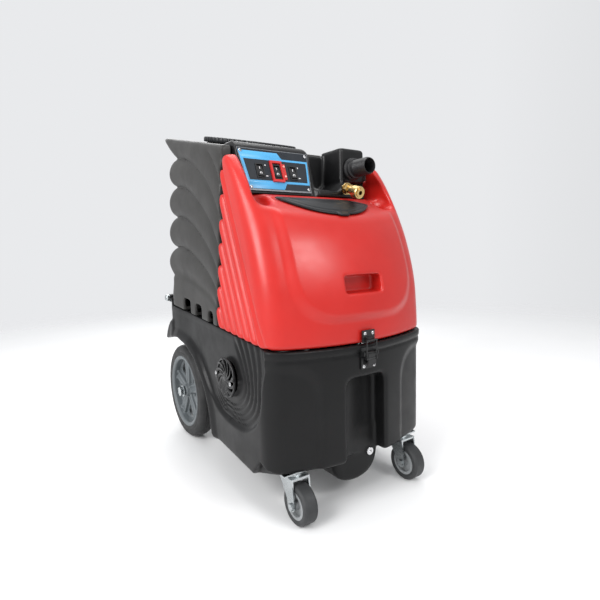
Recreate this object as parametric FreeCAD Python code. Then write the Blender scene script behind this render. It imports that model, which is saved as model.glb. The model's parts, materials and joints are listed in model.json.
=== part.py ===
import FreeCAD, Part
import math
import os
from FreeCAD import Placement, Rotation, Vector

# Portable box carpet extractor, in millimetres.
# Origin on the floor under the middle of the machine. +Z up, front towards -Y, and +X to the
# right of someone who faces the front.

# ---------------------------------------------------------------- driving dimensions
HALF_WIDTH = 199.0            # base and tanks, at the side walls
FRONT_Y = -338.0              # middle of the bowed front face of the base
REAR_Y = 215.0                # rear wall of the base and the recovery tank's foot
FRONT_BOW = 39.0              # how far the front corners stand behind its middle
WALL = 4.5                    # rotomoulded wall
FLOOR_Z = 97.0                # underside of the base, and top face of the caster plates

SEAM_FRONT_Z = 325.0          # base and tank assembly part here
SEAM_SLOPE = 0.085            # the parting line rises to the rear
SEAM_GAP = 2.0

CASTER_X = 143.0
CASTER_Y = -282.0             # swivel axes
CASTER_TRAIL = 25.0
CASTER_R = 38.1               # 3 inch casters
CASTER_W = 30.0

WHEEL_R = 127.0               # 10 inch rear wheels
WHEEL_Y = 225.0
WHEEL_W = 48.0
WHEEL_OUT_X = 171.0           # outer face of the rear wheels
BAY_X = 112.0                 # inner wall of the wheel bays
AXLE_R = 8.0

HINGE_Y = 236.0               # rod that the whole tank assembly tips back on
HINGE_Z = 388.0
HINGE_ROD_R = 5.0

VENT_Y = -128.0
VENT_Z = 249.0
VENT_R = 42.0

SUMP_HALF = 60.0              # rounded belly that hangs between the front feet
SUMP_Z = 36.0
SUMP_Y = -302.0               # its front
CHANNEL_HALF = 46.0           # upright channel in the front, above the belly
CHANNEL_Y = -302.0
CHANNEL_TOP = 262.0

DRAIN = (34.0, 90.0)          # x, z of the sump's drain fitting
INLET_X = (-70.0, 70.0)       # cord inlets in the rear wall
INLET_Z = 240.0

SOL_TOP_Z = 694.0             # tips of the solution tank's two horns
HORN_X = 174.0                # inner faces of the horns
LEDGE_Z = 618.0               # seat of the control console
REC_TOP_SLOPE = 0.245
REC_TOP_FRONT_Z = 728.0       # recovery tank top at its front wall
REC_FRONT_Y = -88.0           # front wall behind the console
REC_LIP_Y = 246.0             # rear lip of the top
REC_WING_Y = -138.0           # the side walls reach further forward, beside the console
TANK_SPLIT = 2.5              # slot between the solution tank and the recovery tank
LOBE_NOTCHES = ((218.0, 451.0), (201.0, 522.0), (189.0, 598.0), (174.0, 671.0), (164.0, 738.0))
LOBE_DEPTH = 24.0

FLOOR_RISE = 60.0             # the recovery tank's inner floor above its feet
DUMP = (0.0, 486.0)           # x, z of the dump valve in the rear wall
DUMP_R = 24.0
DUMP_FACE_Y = 242.0           # flange of the dump valve, clear of the scallops
PIPE_XY = (-120.0, -30.0)     # stand pipe to the vacuum motor
PIPE_R = 21.0
CAGE_Z = 640.0                # closed top of the stand pipe

LID_Y = 103.0                 # recovery lid centre
LID_R = 112.0
MOUTH_R = 96.0
LID_T = 12.0

FILL_TOP = (-200.0, 610.0)    # y, z of the fill lid's straight upper edge
FILL_SLOPE = 30.0             # degrees
FILL_HALF = 122.0
FILL_DEPTH = 74.0

PANEL_FOOT = (-182.0, 622.0)  # y, z of the control panel's lower edge
PANEL_HEAD = (-150.0, 712.0)
CONSOLE_REAR_Y = -94.0
CONSOLE_TOP_Z = 726.0
POCKET_X = (12.0, 80.0)
PORT_X = (82.0, 152.0)
PORT_Z = (664.0, 732.0)
PORT_FACE_Y = -166.0
BARB_X = 114.0
BARB_Z = 686.0
BARB_R = 19.0                 # takes a 38 mm vacuum hose
BARB_BORE = 15.5
BARB_LENGTH = 60.0

COUPLER_X = 68.0
COUPLER_Y = -200.8
COUPLER_Z = 637.0
COUPLER_DROP = 18.0           # degrees that the solution coupler points down

LATCH_PIVOT = (-345.0, 309.0)  # y, z of the lever's pin
BAIL_PIVOT = (-349.5, 301.0)
BAIL_BAR_Z = 334.8

ROCKER_X = (-127.0, -88.0, -49.0)
ROCKER_SIZE = (13.0, 26.0)
OUT = "parts"


# ---------------------------------------------------------------- shape helpers
def box(x0, x1, y0, y1, z0, z1):
    return Part.makeBox(x1 - x0, y1 - y0, z1 - z0, Vector(x0, y0, z0))


def rod(axis, radius, start, end, a=0.0, b=0.0):
    """Cylinder along X, Y or Z between two coordinates; a, b are its other two."""
    places = {"x": (start, a, b), "y": (a, start, b), "z": (a, b, start)}
    ways = {"x": Vector(1, 0, 0), "y": Vector(0, 1, 0), "z": Vector(0, 0, 1)}
    return Part.makeCylinder(radius, end - start, Vector(*places[axis]), ways[axis])


def pipe(axis, outer, inner, start, end, a=0.0, b=0.0):
    return rod(axis, outer, start, end, a, b).cut(rod(axis, inner, start - 1, end + 1, a, b))


def face_of(points, to3d):
    """Face from 2D points; an entry with two points is an arc: through the first, to the second."""
    here = points[0]
    edges = []
    for item in list(points[1:]) + [points[0]]:
        if isinstance(item[0], tuple):
            middle, there = item
            edges.append(Part.Arc(to3d(here), to3d(middle), to3d(there)).toShape())
        else:
            there = item
            edges.append(Part.LineSegment(to3d(here), to3d(there)).toShape())
        here = there
    return Part.Face(Part.Wire(edges))


def prism_x(points, x0, x1):
    return face_of(points, lambda p: Vector(x0, p[0], p[1])).extrude(Vector(x1 - x0, 0, 0))


def prism_y(points, y0, y1):
    return face_of(points, lambda p: Vector(p[0], y0, p[1])).extrude(Vector(0, y1 - y0, 0))


def prism_z(points, z0, z1):
    return face_of(points, lambda p: Vector(p[0], p[1], z0)).extrude(Vector(0, 0, z1 - z0))


def turned(profile, place=None):
    """Solid of revolution about local Z from (radius, height) points."""
    face = face_of(profile, lambda p: Vector(p[0], 0, p[1]))
    solid = face.revolve(Vector(0, 0, 0), Vector(0, 0, 1), 360)
    return placed(solid, place) if place else solid


def placed(shape, place):
    moved = shape.copy()
    moved.Placement = place.multiply(moved.Placement)
    return moved


def lean(y, z, degrees, x=0.0):
    """Placement at x, y, z with local Z leaning towards the front by an angle."""
    return Placement(Vector(x, y, z), Rotation(Vector(1, 0, 0), degrees))


def along(x, y, z, axis):
    """Placement whose local Z points along an axis."""
    return Placement(Vector(x, y, z), Rotation(Vector(0, 0, 1), Vector(*axis)))


def fused(shapes):
    whole = shapes[0]
    for shape in shapes[1:]:
        whole = whole.fuse(shape)
    return whole.removeSplitter()


def mirrored(shape):
    return shape.mirror(Vector(0, 0, 0), Vector(1, 0, 0))


def save(name, shape):
    os.makedirs(OUT, exist_ok=True)
    shape.exportStep(OUT + "/" + name + ".step")


def seam_z(y):
    return SEAM_FRONT_Z + (y - FRONT_Y) * SEAM_SLOPE


def plan(half, mid_y, corner_y, rear_y, corner=26.0, rear_corner=20.0):
    """Plan outline: bowed front, rounded corners, straight sides and rear."""
    bow_x = half - corner
    bow_y = corner_y - corner * 0.25
    nip = 0.293
    return (
        (-half, corner_y + corner),
        ((-half + nip * corner, corner_y + 0.25 * corner), (-bow_x, bow_y)),
        ((0.0, mid_y), (bow_x, bow_y)),
        ((half - nip * corner, corner_y + 0.25 * corner), (half, corner_y + corner)),
        (half, rear_y - rear_corner),
        ((half - nip * rear_corner, rear_y - nip * rear_corner), (half - rear_corner, rear_y)),
        (-half + rear_corner, rear_y),
        ((-half + nip * rear_corner, rear_y - nip * rear_corner), (-half, rear_y - rear_corner)),
    )


def above(offset, top=1000.0):
    """Everything above the sloped parting plane, shifted up by an offset."""
    y0, y1 = -420.0, 420.0
    return prism_x(((y0, seam_z(y0) + offset), (y1, seam_z(y1) + offset), (y1, top), (y0, top)),
                   -260.0, 260.0)


def below(offset):
    y0, y1 = -420.0, 420.0
    return prism_x(((y0, -50.0), (y1, -50.0), (y1, seam_z(y1) + offset), (y0, seam_z(y0) + offset)),
                   -260.0, 260.0)


# ---------------------------------------------------------------- base
def wheel_bay(grow, x0, x1):
    """Space that a rear wheel turns in, open to the side, the rear and the floor."""
    profile = (
        (-43.0 - grow, 60.0),
        (-43.0 - grow, 95.0),
        ((11.0 - grow * 0.8, 224.0 + grow * 0.5), (158.0, 292.0 + grow)),
        (280.0, 267.0 + grow),
        (280.0, 60.0),
    )
    return prism_x(profile, x0, x1)


def sump(shrink):
    r = 44.0 - shrink
    half = SUMP_HALF - shrink
    low = SUMP_Z + shrink
    return prism_y((
        (-half, FLOOR_Z + 30.0), (-half, low + r),
        ((-half + 0.293 * r, low + 0.293 * r), (-half + r, low)),
        (half - r, low),
        ((half - 0.293 * r, low + 0.293 * r), (half, low + r)),
        (half, FLOOR_Z + 30.0)), SUMP_Y + shrink, -196.0 - shrink)


def base_body(shrink):
    rear = REAR_Y - shrink
    body = prism_z(plan(HALF_WIDTH - shrink, FRONT_Y + shrink, FRONT_Y + FRONT_BOW + shrink, rear),
                   FLOOR_Z + shrink, 420.0)
    channel = box(-CHANNEL_HALF - shrink, CHANNEL_HALF + shrink, -400.0, CHANNEL_Y + shrink,
                  0.0, CHANNEL_TOP + shrink)
    body = body.cut(channel).fuse(sump(shrink))
    for side in (-1, 1):
        edges = sorted((side * (BAY_X - shrink), side * 230.0))
        body = body.cut(wheel_bay(shrink, *edges))
    return body


def base_housing():
    """Open-topped shell with wheel bays, front channel and a hanging sump."""
    outer = base_body(0.0).common(below(0.0))
    hood = prism_x(((208.0, 331.0), (REAR_Y, 328.0), (246.0, 296.0), (259.0, 271.4),
                    (208.0, 281.7)), -HALF_WIDTH, HALF_WIDTH)
    outer = outer.fuse(hood)
    shell = outer.cut(base_body(WALL))
    # vent holes in both side walls
    for side in (-1, 1):
        edges = sorted((side * (HALF_WIDTH - 20.0), side * (HALF_WIDTH + 20.0)))
        shell = shell.cut(rod("x", VENT_R - 7.0, edges[0], edges[1], VENT_Y, VENT_Z))
    # axle beam across the rear
    shell = shell.fuse(prism_x(((REAR_Y - 30.0, 100.0), (REAR_Y + 24.0, 104.0),
                                (REAR_Y + 24.0, 150.0), (REAR_Y - 30.0, 156.0)),
                               -BAY_X, BAY_X))
    shell = shell.cut(rod("x", AXLE_R + 0.05, -BAY_X - 5, BAY_X + 5, WHEEL_Y, WHEEL_R))
    shell = shell.cut(rod("y", 6.3, SUMP_Y - 8.0, SUMP_Y + 22.0, DRAIN[0], DRAIN[1]))
    # cord inlets in the rear wall
    for x in INLET_X:
        shell = shell.cut(rod("y", 11.05, REAR_Y - 20.0, REAR_Y + 10.0, x, INLET_Z))
    return shell.removeSplitter()


def chassis_parts():
    save("base_housing", base_housing())
    # motor deck: a plate on the base floor
    deck = box(-96.0, 96.0, -170.0, 150.0, FLOOR_Z + WALL, FLOOR_Z + WALL + 4.0)
    deck = deck.cut(rod("z", 30.0, 90.0, 120.0, 0.0, -60.0))
    save("motor_deck", deck)
    deck_z = FLOOR_Z + WALL + 4.0
    # three-stage vacuum motor: a can with a closed top and an inlet eye, rotor inside
    can = pipe("z", 73.0, 70.0, deck_z, deck_z + 112.0, 0.0, -60.0)
    floor = pipe("z", 73.0, 28.0, deck_z, deck_z + 3.0, 0.0, -60.0)
    roof = pipe("z", 73.0, 9.0, deck_z + 109.0, deck_z + 112.0, 0.0, -60.0)
    motor = pipe("z", 48.0, 36.0, deck_z + 112.0, deck_z + 176.0, 0.0, -60.0)
    cap = rod("z", 48.0, deck_z + 176.0, deck_z + 180.0, 0.0, -60.0)
    horn = pipe("x", 24.0, 20.0, 66.0, 108.0, -60.0, deck_z + 58.0)
    horn = horn.cut(rod("z", 71.5, deck_z, deck_z + 112.0, 0.0, -60.0))
    save("vacuum_motor", fused([can, floor, roof, motor, cap, horn]))
    shaft = rod("z", 6.0, deck_z + 8.0, deck_z + 170.0, 0.0, -60.0)
    fans = [rod("z", 66.0, deck_z + z, deck_z + z + 5.0, 0.0, -60.0) for z in (16.0, 48.0, 80.0)]
    armature = rod("z", 30.0, deck_z + 120.0, deck_z + 166.0, 0.0, -60.0)
    save("vacuum_rotor", fused([shaft, armature] + fans))
    # solution pump and in-line heater, both sealed units on the deck
    pump = fused([rod("y", 34.0, 40.0, 104.0, -52.0, deck_z + 36.0),
                  box(-84.0, -20.0, 44.0, 100.0, deck_z, deck_z + 10.0),
                  box(-80.0, -24.0, 104.0, 140.0, deck_z + 12.0, deck_z + 62.0),
                  rod("z", 8.0, deck_z + 62.0, deck_z + 78.0, -66.0, 122.0),
                  rod("z", 8.0, deck_z + 62.0, deck_z + 78.0, -38.0, 122.0)])
    save("solution_pump", pump)
    heater = fused([rod("y", 24.0, 34.0, 144.0, 56.0, deck_z + 32.0),
                    box(34.0, 78.0, 50.0, 62.0, deck_z, deck_z + 16.0),
                    box(34.0, 78.0, 116.0, 128.0, deck_z, deck_z + 16.0),
                    rod("z", 7.0, deck_z + 50.0, deck_z + 70.0, 56.0, 46.0),
                    rod("z", 7.0, deck_z + 50.0, deck_z + 70.0, 56.0, 132.0)])
    save("solution_heater", heater)
    # cord inlets: flanged sockets in the rear wall
    inlets = []
    for x in INLET_X:
        barrel = pipe("y", 11.0, 8.0, REAR_Y - 18.0, REAR_Y + 0.3, x, INLET_Z)
        flange = pipe("y", 18.0, 8.0, REAR_Y + 0.3, REAR_Y + 5.0, x, INLET_Z)
        back = rod("y", 11.0, REAR_Y - 22.0, REAR_Y - 18.0, x, INLET_Z)
        inlets.append(fused([barrel, flange, back]))
    save("power_inlets", Part.makeCompound(inlets))
    # sump drain
    flange = turned(((0.0, 0.3), (8.5, 0.3), (8.5, 3.0), ((8.0, 4.4), (6.5, 4.8)), (0.0, 4.8)),
                    along(DRAIN[0], SUMP_Y, DRAIN[1], (0, -1, 0)))
    stem = rod("y", 6.0, SUMP_Y - 0.3, SUMP_Y + 20.0, DRAIN[0], DRAIN[1])
    socket = rod("y", 3.2, SUMP_Y - 8.0, SUMP_Y - 1.5, DRAIN[0], DRAIN[1])
    save("drain_fitting", fused([flange, stem]).cut(socket))
    # vents
    for side, name in ((-1, "left"), (1, "right")):
        grille = vent_grille()
        grille = grille if side < 0 else mirrored(grille)
        save("vent_grille_" + name, grille)
    screws = []
    for side in (-1, 1):
        for dy, dz in ((-33.5, -5.0), (33.5, 5.0)):
            start = along(side * (HALF_WIDTH + 9.2), VENT_Y + dy, VENT_Z + dz, (side, 0, 0))
            screws.append(screw(4.2, 2.0, start))
    save("vent_screws", Part.makeCompound(screws))


def screw(radius, height, place):
    """Pan-head screw with a cross recess."""
    head = turned(((0.0, 0.0), (radius, 0.0), (radius, height * 0.45),
                   ((radius * 0.75, height * 0.85), (0.0, height))), place)
    slot = box(-0.45, 0.45, -radius * 0.6, radius * 0.6, height * 0.45, height + 1.0)
    cross = slot.fuse(box(-radius * 0.6, radius * 0.6, -0.45, 0.45, height * 0.45, height + 1.0))
    return head.cut(placed(cross, place))


def vent_grille():
    """Left grille: thick bezel, ring, hub and swirl blades, on the -X side wall."""
    out = -HALF_WIDTH
    bezel = pipe("x", VENT_R, VENT_R - 13.0, out - 9.0, out - 0.3, VENT_Y, VENT_Z)
    hub = rod("x", 6.0, out - 8.0, out - 3.0, VENT_Y, VENT_Z)
    solids = [bezel, hub]
    blades = 10
    for i in range(blades):
        blade = box(out - 8.0, out - 3.0, -1.4, 1.4, 4.0, VENT_R - 12.0)
        blade.rotate(Vector(0, 0, 4.0), Vector(1, 0, 0), 18.0)
        blade.translate(Vector(0, VENT_Y, VENT_Z))
        blade.rotate(Vector(0, VENT_Y, VENT_Z), Vector(1, 0, 0), 360.0 * i / blades)
        solids.append(blade)
    return fused(solids)


# ---------------------------------------------------------------- running gear
def caster(side, name):
    x = side * CASTER_X
    wheel_y = CASTER_Y - CASTER_TRAIL
    plate_z = FLOOR_Z - 3.2
    plate = box(x - 31.0, x + 31.0, CASTER_Y - 20.0, CASTER_Y + 36.0, plate_z, FLOOR_Z - 0.2)
    race = rod("z", 22.0, plate_z - 4.0, plate_z, x, CASTER_Y)
    pin = rod("z", 5.0, plate_z - 14.0, plate_z - 4.0, x, CASTER_Y)
    head = rod("z", 9.0, plate_z - 16.5, plate_z - 13.5, x, CASTER_Y)
    save("caster_plate_" + name, fused([plate, race, pin, head]))
    # fork: crown with a king-pin hole and two tapered legs
    crown_z = plate_z - 4.3 - 4.0
    gap = CASTER_W / 2.0 + 2.0
    crown = box(x - gap - 3.0, x + gap + 3.0, wheel_y - 2.0, CASTER_Y + 17.0, crown_z, crown_z + 4.0)
    crown = crown.fuse(rod("z", 20.0, crown_z, crown_z + 4.0, x, CASTER_Y))
    leg = prism_x(((wheel_y - 9.0, CASTER_R), ((wheel_y, CASTER_R - 9.5), (wheel_y + 9.0, CASTER_R)),
                   (CASTER_Y + 17.0, crown_z + 4.0), (wheel_y - 2.0, crown_z + 4.0)),
                  x - gap - 3.0, x - gap)
    other = leg.copy()
    other.translate(Vector(2.0 * gap + 3.0, 0, 0))
    fork = fused([crown, leg, other])
    fork = fork.cut(rod("z", 5.08, crown_z - 1.0, crown_z + 6.0, x, CASTER_Y))
    fork = fork.cut(rod("x", 4.05, x - 40.0, x + 40.0, wheel_y, CASTER_R))
    save("caster_fork_" + name, fork)
    bolt = rod("x", 4.0, x - gap - 7.0, x + gap + 7.0, wheel_y, CASTER_R)
    for start, end in ((x - gap - 7.0, x - gap - 3.3), (x + gap + 3.3, x + gap + 7.0)):
        hexagon = Part.Face(Part.makePolygon([
            Vector(start, wheel_y + 7.2 * math.cos(math.radians(60 * i)),
                   CASTER_R + 7.2 * math.sin(math.radians(60 * i))) for i in range(7)]))
        bolt = bolt.fuse(hexagon.extrude(Vector(end - start, 0, 0)))
    save("caster_bolt_" + name, bolt.removeSplitter())
    half = CASTER_W / 2.0
    core = turned(((4.08, -half - 1.4), (9.0, -half - 1.4), (9.0, -8.0), (21.0, -6.0),
                   (21.0, -half + 1.5), (26.5, -half + 1.5), (26.5, half - 1.5), (21.0, half - 1.5),
                   (21.0, 6.0), (9.0, 8.0), (9.0, half + 1.4), (4.08, half + 1.4)),
                  along(x, wheel_y, CASTER_R, (1, 0, 0)))
    save("caster_core_" + name, core)
    tyre = turned(((26.5, -half + 1.5), (32.0, -half), ((36.6, -half + 1.6), (CASTER_R, -half + 7.0)),
                   (CASTER_R, half - 7.0), ((36.6, half - 1.6), (32.0, half)), (26.5, half - 1.5)),
                  along(x, wheel_y, CASTER_R, (1, 0, 0)))
    save("caster_tyre_" + name, tyre)


def rear_wheel(side, name):
    half = WHEEL_W / 2.0
    x = side * (WHEEL_OUT_X - half)
    place = along(x, WHEEL_Y, WHEEL_R, (side, 0, 0))
    tyre = turned(((97.0, -half + 4.0), (104.0, -half + 1.0),
                   ((119.0, -half + 1.5), (WHEEL_R, -half + 13.0)), (WHEEL_R, half - 13.0),
                   ((119.0, half - 1.5), (104.0, half - 1.0)), (97.0, half - 4.0)), place)
    save("rear_tyre_" + name, tyre)
    rim = turned(((88.0, -half + 3.0), (97.0, -half + 3.0), (97.0, half - 2.0), (90.0, half - 1.0),
                  (88.0, half - 6.0)), place)
    hub = turned(((8.08, -half + 1.0), (20.0, -half + 1.0), (20.0, half - 4.0), (14.0, half),
                  (8.08, half)), place)
    web = turned(((19.0, -3.0), (89.0, -1.0), (89.0, 2.0), (19.0, 3.0)), place)
    spokes = []
    for i in range(5):
        spoke = prism_x(((12.0, -8.0), (90.0, -12.0), (90.0, 12.0), (12.0, 8.0)), -7.0, half - 9.0)
        spoke.rotate(Vector(0, 0, 0), Vector(1, 0, 0), 72.0 * i + 90.0)
        spokes.append(spoke if side > 0 else mirrored(spoke))
    wheel = fused([rim, hub, web])
    for spoke in spokes:
        spoke.translate(Vector(x, WHEEL_Y, WHEEL_R))
        wheel = wheel.fuse(spoke.cut(rod("x", 15.0, x - 40.0, x + 40.0, WHEEL_Y, WHEEL_R)))
    windows = []
    for i in range(5):
        hole = rod("x", 17.0, x - 30.0, x + 30.0, WHEEL_Y + 58.0, WHEEL_R)
        hole.rotate(Vector(0, WHEEL_Y, WHEEL_R), Vector(1, 0, 0), 72.0 * i + 90.0 + 36.0)
        windows.append(hole)
    for hole in windows:
        wheel = wheel.cut(hole)
    save("rear_rim_" + name, wheel.removeSplitter())


def running_gear():
    for side, name in ((-1, "left"), (1, "right")):
        caster(side, name)
        rear_wheel(side, name)
    axle = rod("x", AXLE_R, -WHEEL_OUT_X - 11.0, WHEEL_OUT_X + 11.0, WHEEL_Y, WHEEL_R)
    save("rear_axle", axle)
    nuts = []
    for side in (-1, 1):
        start = along(side * (WHEEL_OUT_X + 0.4), WHEEL_Y, WHEEL_R, (side, 0, 0))
        washer = turned(((AXLE_R + 0.02, 0.0), (15.0, 0.0), (15.0, 2.0), (AXLE_R + 0.02, 2.0)), start)
        points = [Vector(13.0 * math.cos(math.radians(60 * i)), 13.0 * math.sin(math.radians(60 * i)),
                         2.0) for i in range(7)]
        nut = Part.Face(Part.makePolygon(points)).extrude(Vector(0, 0, 9.0))
        nut = placed(nut, start).cut(rod("x", AXLE_R + 0.02, -220.0, 220.0, WHEEL_Y, WHEEL_R))
        inner = along(side * (BAY_X + 0.3), WHEEL_Y, WHEEL_R, (side, 0, 0))
        gap = WHEEL_OUT_X - WHEEL_W - BAY_X
        spacer = turned(((AXLE_R + 0.02, 0.0), (13.0, 0.0), (13.0, gap - 0.8),
                         (AXLE_R + 0.02, gap - 0.8)), inner)
        nuts += [washer.fuse(nut).removeSplitter(), spacer]
    save("axle_nuts", Part.makeCompound(nuts))


# ---------------------------------------------------------------- tanks
SOL_LEVELS = (                 # z, middle y, corner y, rear y of the solution tank's outline
    (318.0, FRONT_Y, FRONT_Y + 39.0, -90.0),
    (440.0, -329.0, -290.0, -100.0),
    (540.0, -294.0, -263.0, -120.0),
    (620.0, -244.0, -222.0, -127.0),
    (SOL_TOP_Z, -184.0, -170.0, -142.0),
)


def solution_blank(shrink):
    wires = []
    for z, mid_y, corner_y, rear_y in SOL_LEVELS:
        outline = plan(HALF_WIDTH - shrink, mid_y + shrink, corner_y + shrink, rear_y - shrink,
                       corner=min(26.0, (rear_y - corner_y) * 0.4), rear_corner=5.0)
        wires.append(face_of(outline, lambda p, z=z: Vector(p[0], p[1], z)).OuterWire)
    return Part.makeLoft(wires, True, True)


def fill_plane(grow):
    """Space above the fill lid's sloped seat and above the console ledge."""
    top_y, top_z = FILL_TOP
    rise = math.tan(math.radians(FILL_SLOPE))
    seat = top_z + 4.0 - grow
    return prism_x(((-420.0, seat - (top_y + 420.0) * rise), (top_y + 8.0, seat + 8.0 * rise),
                    (-60.0, LEDGE_Z - grow), (-60.0, 800.0), (-420.0, 800.0)),
                   -HORN_X - grow, HORN_X + grow)


def solution_tank():
    outer = solution_blank(0.0).common(above(SEAM_GAP)).cut(fill_plane(0.0))
    cavity = solution_blank(WALL).common(above(SEAM_GAP + WALL)).cut(fill_plane(WALL))
    cavity = cavity.cut(box(-260.0, 260.0, -420.0, 60.0, SOL_TOP_Z - 14.0, 800.0))
    tank = outer.cut(cavity)
    # filling mouth and finger pocket
    top_y, top_z = FILL_TOP
    place = lean(top_y, top_z, FILL_SLOPE)
    mouth = placed(box(-62.0, 62.0, -52.0, -12.0, -40.0, 30.0), place)
    tank = tank.cut(mouth)
    pocket_out = box(-46.0, 46.0, -360.0, -296.0, 421.0, 461.0)
    pocket_in = box(-42.0, 42.0, -380.0, -300.0, 425.0, 457.0)
    tank = tank.fuse(pocket_out.common(solution_blank(0.0))).cut(pocket_in)
    return tank.removeSplitter()


def recovery_profile(shrink):
    """Side outline: sloped top with a lip, and a scalloped rear."""
    foot = seam_z(REAR_Y)
    points = [(REC_FRONT_Y + shrink, 300.0), (REAR_Y - shrink, 300.0), (REAR_Y - shrink, foot + 22.0)]
    points.append((LOBE_NOTCHES[0][0] - shrink - 8.0, LOBE_NOTCHES[0][1] - 22.0))
    points.append((LOBE_NOTCHES[0][0] - shrink, LOBE_NOTCHES[0][1]))
    for low, high in zip(LOBE_NOTCHES, LOBE_NOTCHES[1:]):
        middle = ((low[0] + high[0]) / 2.0 + LOBE_DEPTH + 6.0 - shrink, (low[1] + high[1]) / 2.0)
        points.append((middle, (high[0] - shrink, high[1])))
    slope_y = REC_LIP_Y - shrink
    top = REC_TOP_FRONT_Z + (slope_y - 1.0 - REC_FRONT_Y) * REC_TOP_SLOPE - shrink
    points.append((slope_y, top - 14.0))
    points.append((slope_y - 1.0, top))
    front_top = REC_TOP_FRONT_Z - shrink
    if shrink:
        points += [(REC_FRONT_Y + shrink, front_top), (REC_FRONT_Y + shrink, LEDGE_Z - 8.0)]
    else:
        wing_drop = (REC_FRONT_Y - REC_WING_Y) * REC_TOP_SLOPE
        points += [(REC_WING_Y, front_top - wing_drop), (REC_WING_Y, SOL_TOP_Z)]
    points += [(y + TANK_SPLIT + shrink, z) for z, mid, corner, y in reversed(SOL_LEVELS[1:-1])]
    return points


def recovery_blank(shrink, r=24.0):
    half = HALF_WIDTH - 3.0 - shrink
    side_view = prism_x(recovery_profile(shrink), -half, half)
    nip = 0.293
    rear = REAR_Y + 34.0
    outline = ((-half, REC_WING_Y - 10.0), (half, REC_WING_Y - 10.0), (half, rear - r),
               ((half - nip * r, rear - nip * r), (half - r, rear)), (-half + r, rear),
               ((-half + nip * r, rear - nip * r), (-half, rear - r)))
    return side_view.common(prism_z(outline, 280.0, 900.0))


def recovery_tank():
    outer = recovery_blank(0.0).common(above(SEAM_GAP))
    outer = outer.cut(box(-HORN_X, HORN_X, -300.0, REC_FRONT_Y, LEDGE_Z - 6.0, 900.0))
    cavity = recovery_blank(WALL).common(above(SEAM_GAP + FLOOR_RISE))
    cavity = cavity.cut(box(-260.0, 260.0, -300.0, REC_FRONT_Y + WALL, LEDGE_Z - 10.5, 900.0))
    tank = outer.cut(cavity)
    # open underside between the arches: the tank stands on its side walls
    under = above(SEAM_GAP - 30.0).cut(above(SEAM_GAP + FLOOR_RISE - WALL))
    under = under.common(box(-HALF_WIDTH + 8.0, HALF_WIDTH - 8.0, REC_FRONT_Y + WALL, REAR_Y - 8.0,
                             200.0, 500.0))
    tank = tank.cut(under)
    for y, width in ((-49.0, 28.0), (20.0, 42.0), (92.0, 52.0)):
        z = seam_z(y)
        arch = prism_x(((y - width / 2, z - 5.0), (y + width / 2, z - 5.0), (y + width / 2, z + 18.0),
                        ((y, z + 18.0 + width * 0.3), (y - width / 2, z + 18.0))), -260.0, 260.0)
        tank = tank.cut(arch)
    place = lid_place(0.0)
    tank = tank.cut(turned(((0.0, -7.0), (MOUTH_R, -7.0), (MOUTH_R, 40.0), (0.0, 40.0)), place))
    tank = tank.cut(rod("y", DUMP_R + 0.1, REAR_Y - 30.0, REAR_Y + 60.0, DUMP[0], DUMP[1]))
    tank = tank.cut(rod("z", PIPE_R + 0.05, 380.0, 480.0, PIPE_XY[0], PIPE_XY[1]))
    return tank.removeSplitter()


def lid_place(rise):
    """Frame on the sloped top of the recovery tank, at the lid's centre."""
    angle = math.degrees(math.atan(REC_TOP_SLOPE))
    z = REC_TOP_FRONT_Z + (LID_Y - REC_FRONT_Y) * REC_TOP_SLOPE
    place = lean(LID_Y, z, angle)
    return place.multiply(Placement(Vector(0, 0, rise), Rotation()))


def lids():
    ring = turned(((MOUTH_R + 1.5, 0.3), (LID_R - 3.0, 0.3), (LID_R - 3.0, 2.6), (MOUTH_R + 1.5, 2.6)),
                  lid_place(0.0))
    save("lid_gasket", ring)
    rim = LID_R - 6.0
    lid = turned(((0.0, 3.0), (MOUTH_R - 6.0, 3.0), (MOUTH_R - 6.0, -16.0), (MOUTH_R - 2.0, -16.0),
                  (MOUTH_R - 2.0, 2.9), (LID_R, 2.9), (LID_R, 9.0), ((LID_R - 2.0, 11.0),
                  (rim, LID_T)), (rim - 8.0, LID_T), (rim - 12.0, LID_T - 4.0), (0.0, LID_T - 4.0)),
                 lid_place(0.0))
    save("recovery_lid", lid)
    # fill lid: half-moon on the sloped seat, local origin at its straight upper edge
    place = lean(FILL_TOP[0], FILL_TOP[1], FILL_SLOPE)
    moon = ((-FILL_HALF, -3.0), ((-78.0, -56.0), (0.0, -FILL_DEPTH)), ((78.0, -56.0), (FILL_HALF, -3.0)))
    slab = prism_z(moon, 5.0, 9.0)
    tab = box(-13.0, 13.0, -FILL_DEPTH - 7.0, -FILL_DEPTH + 6.0, 5.0, 9.0)
    rib = box(-60.0, 60.0, -14.0, -8.0, 8.0, 11.0)
    save("fill_lid", placed(fused([slab, tab, rib]), place))


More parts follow.
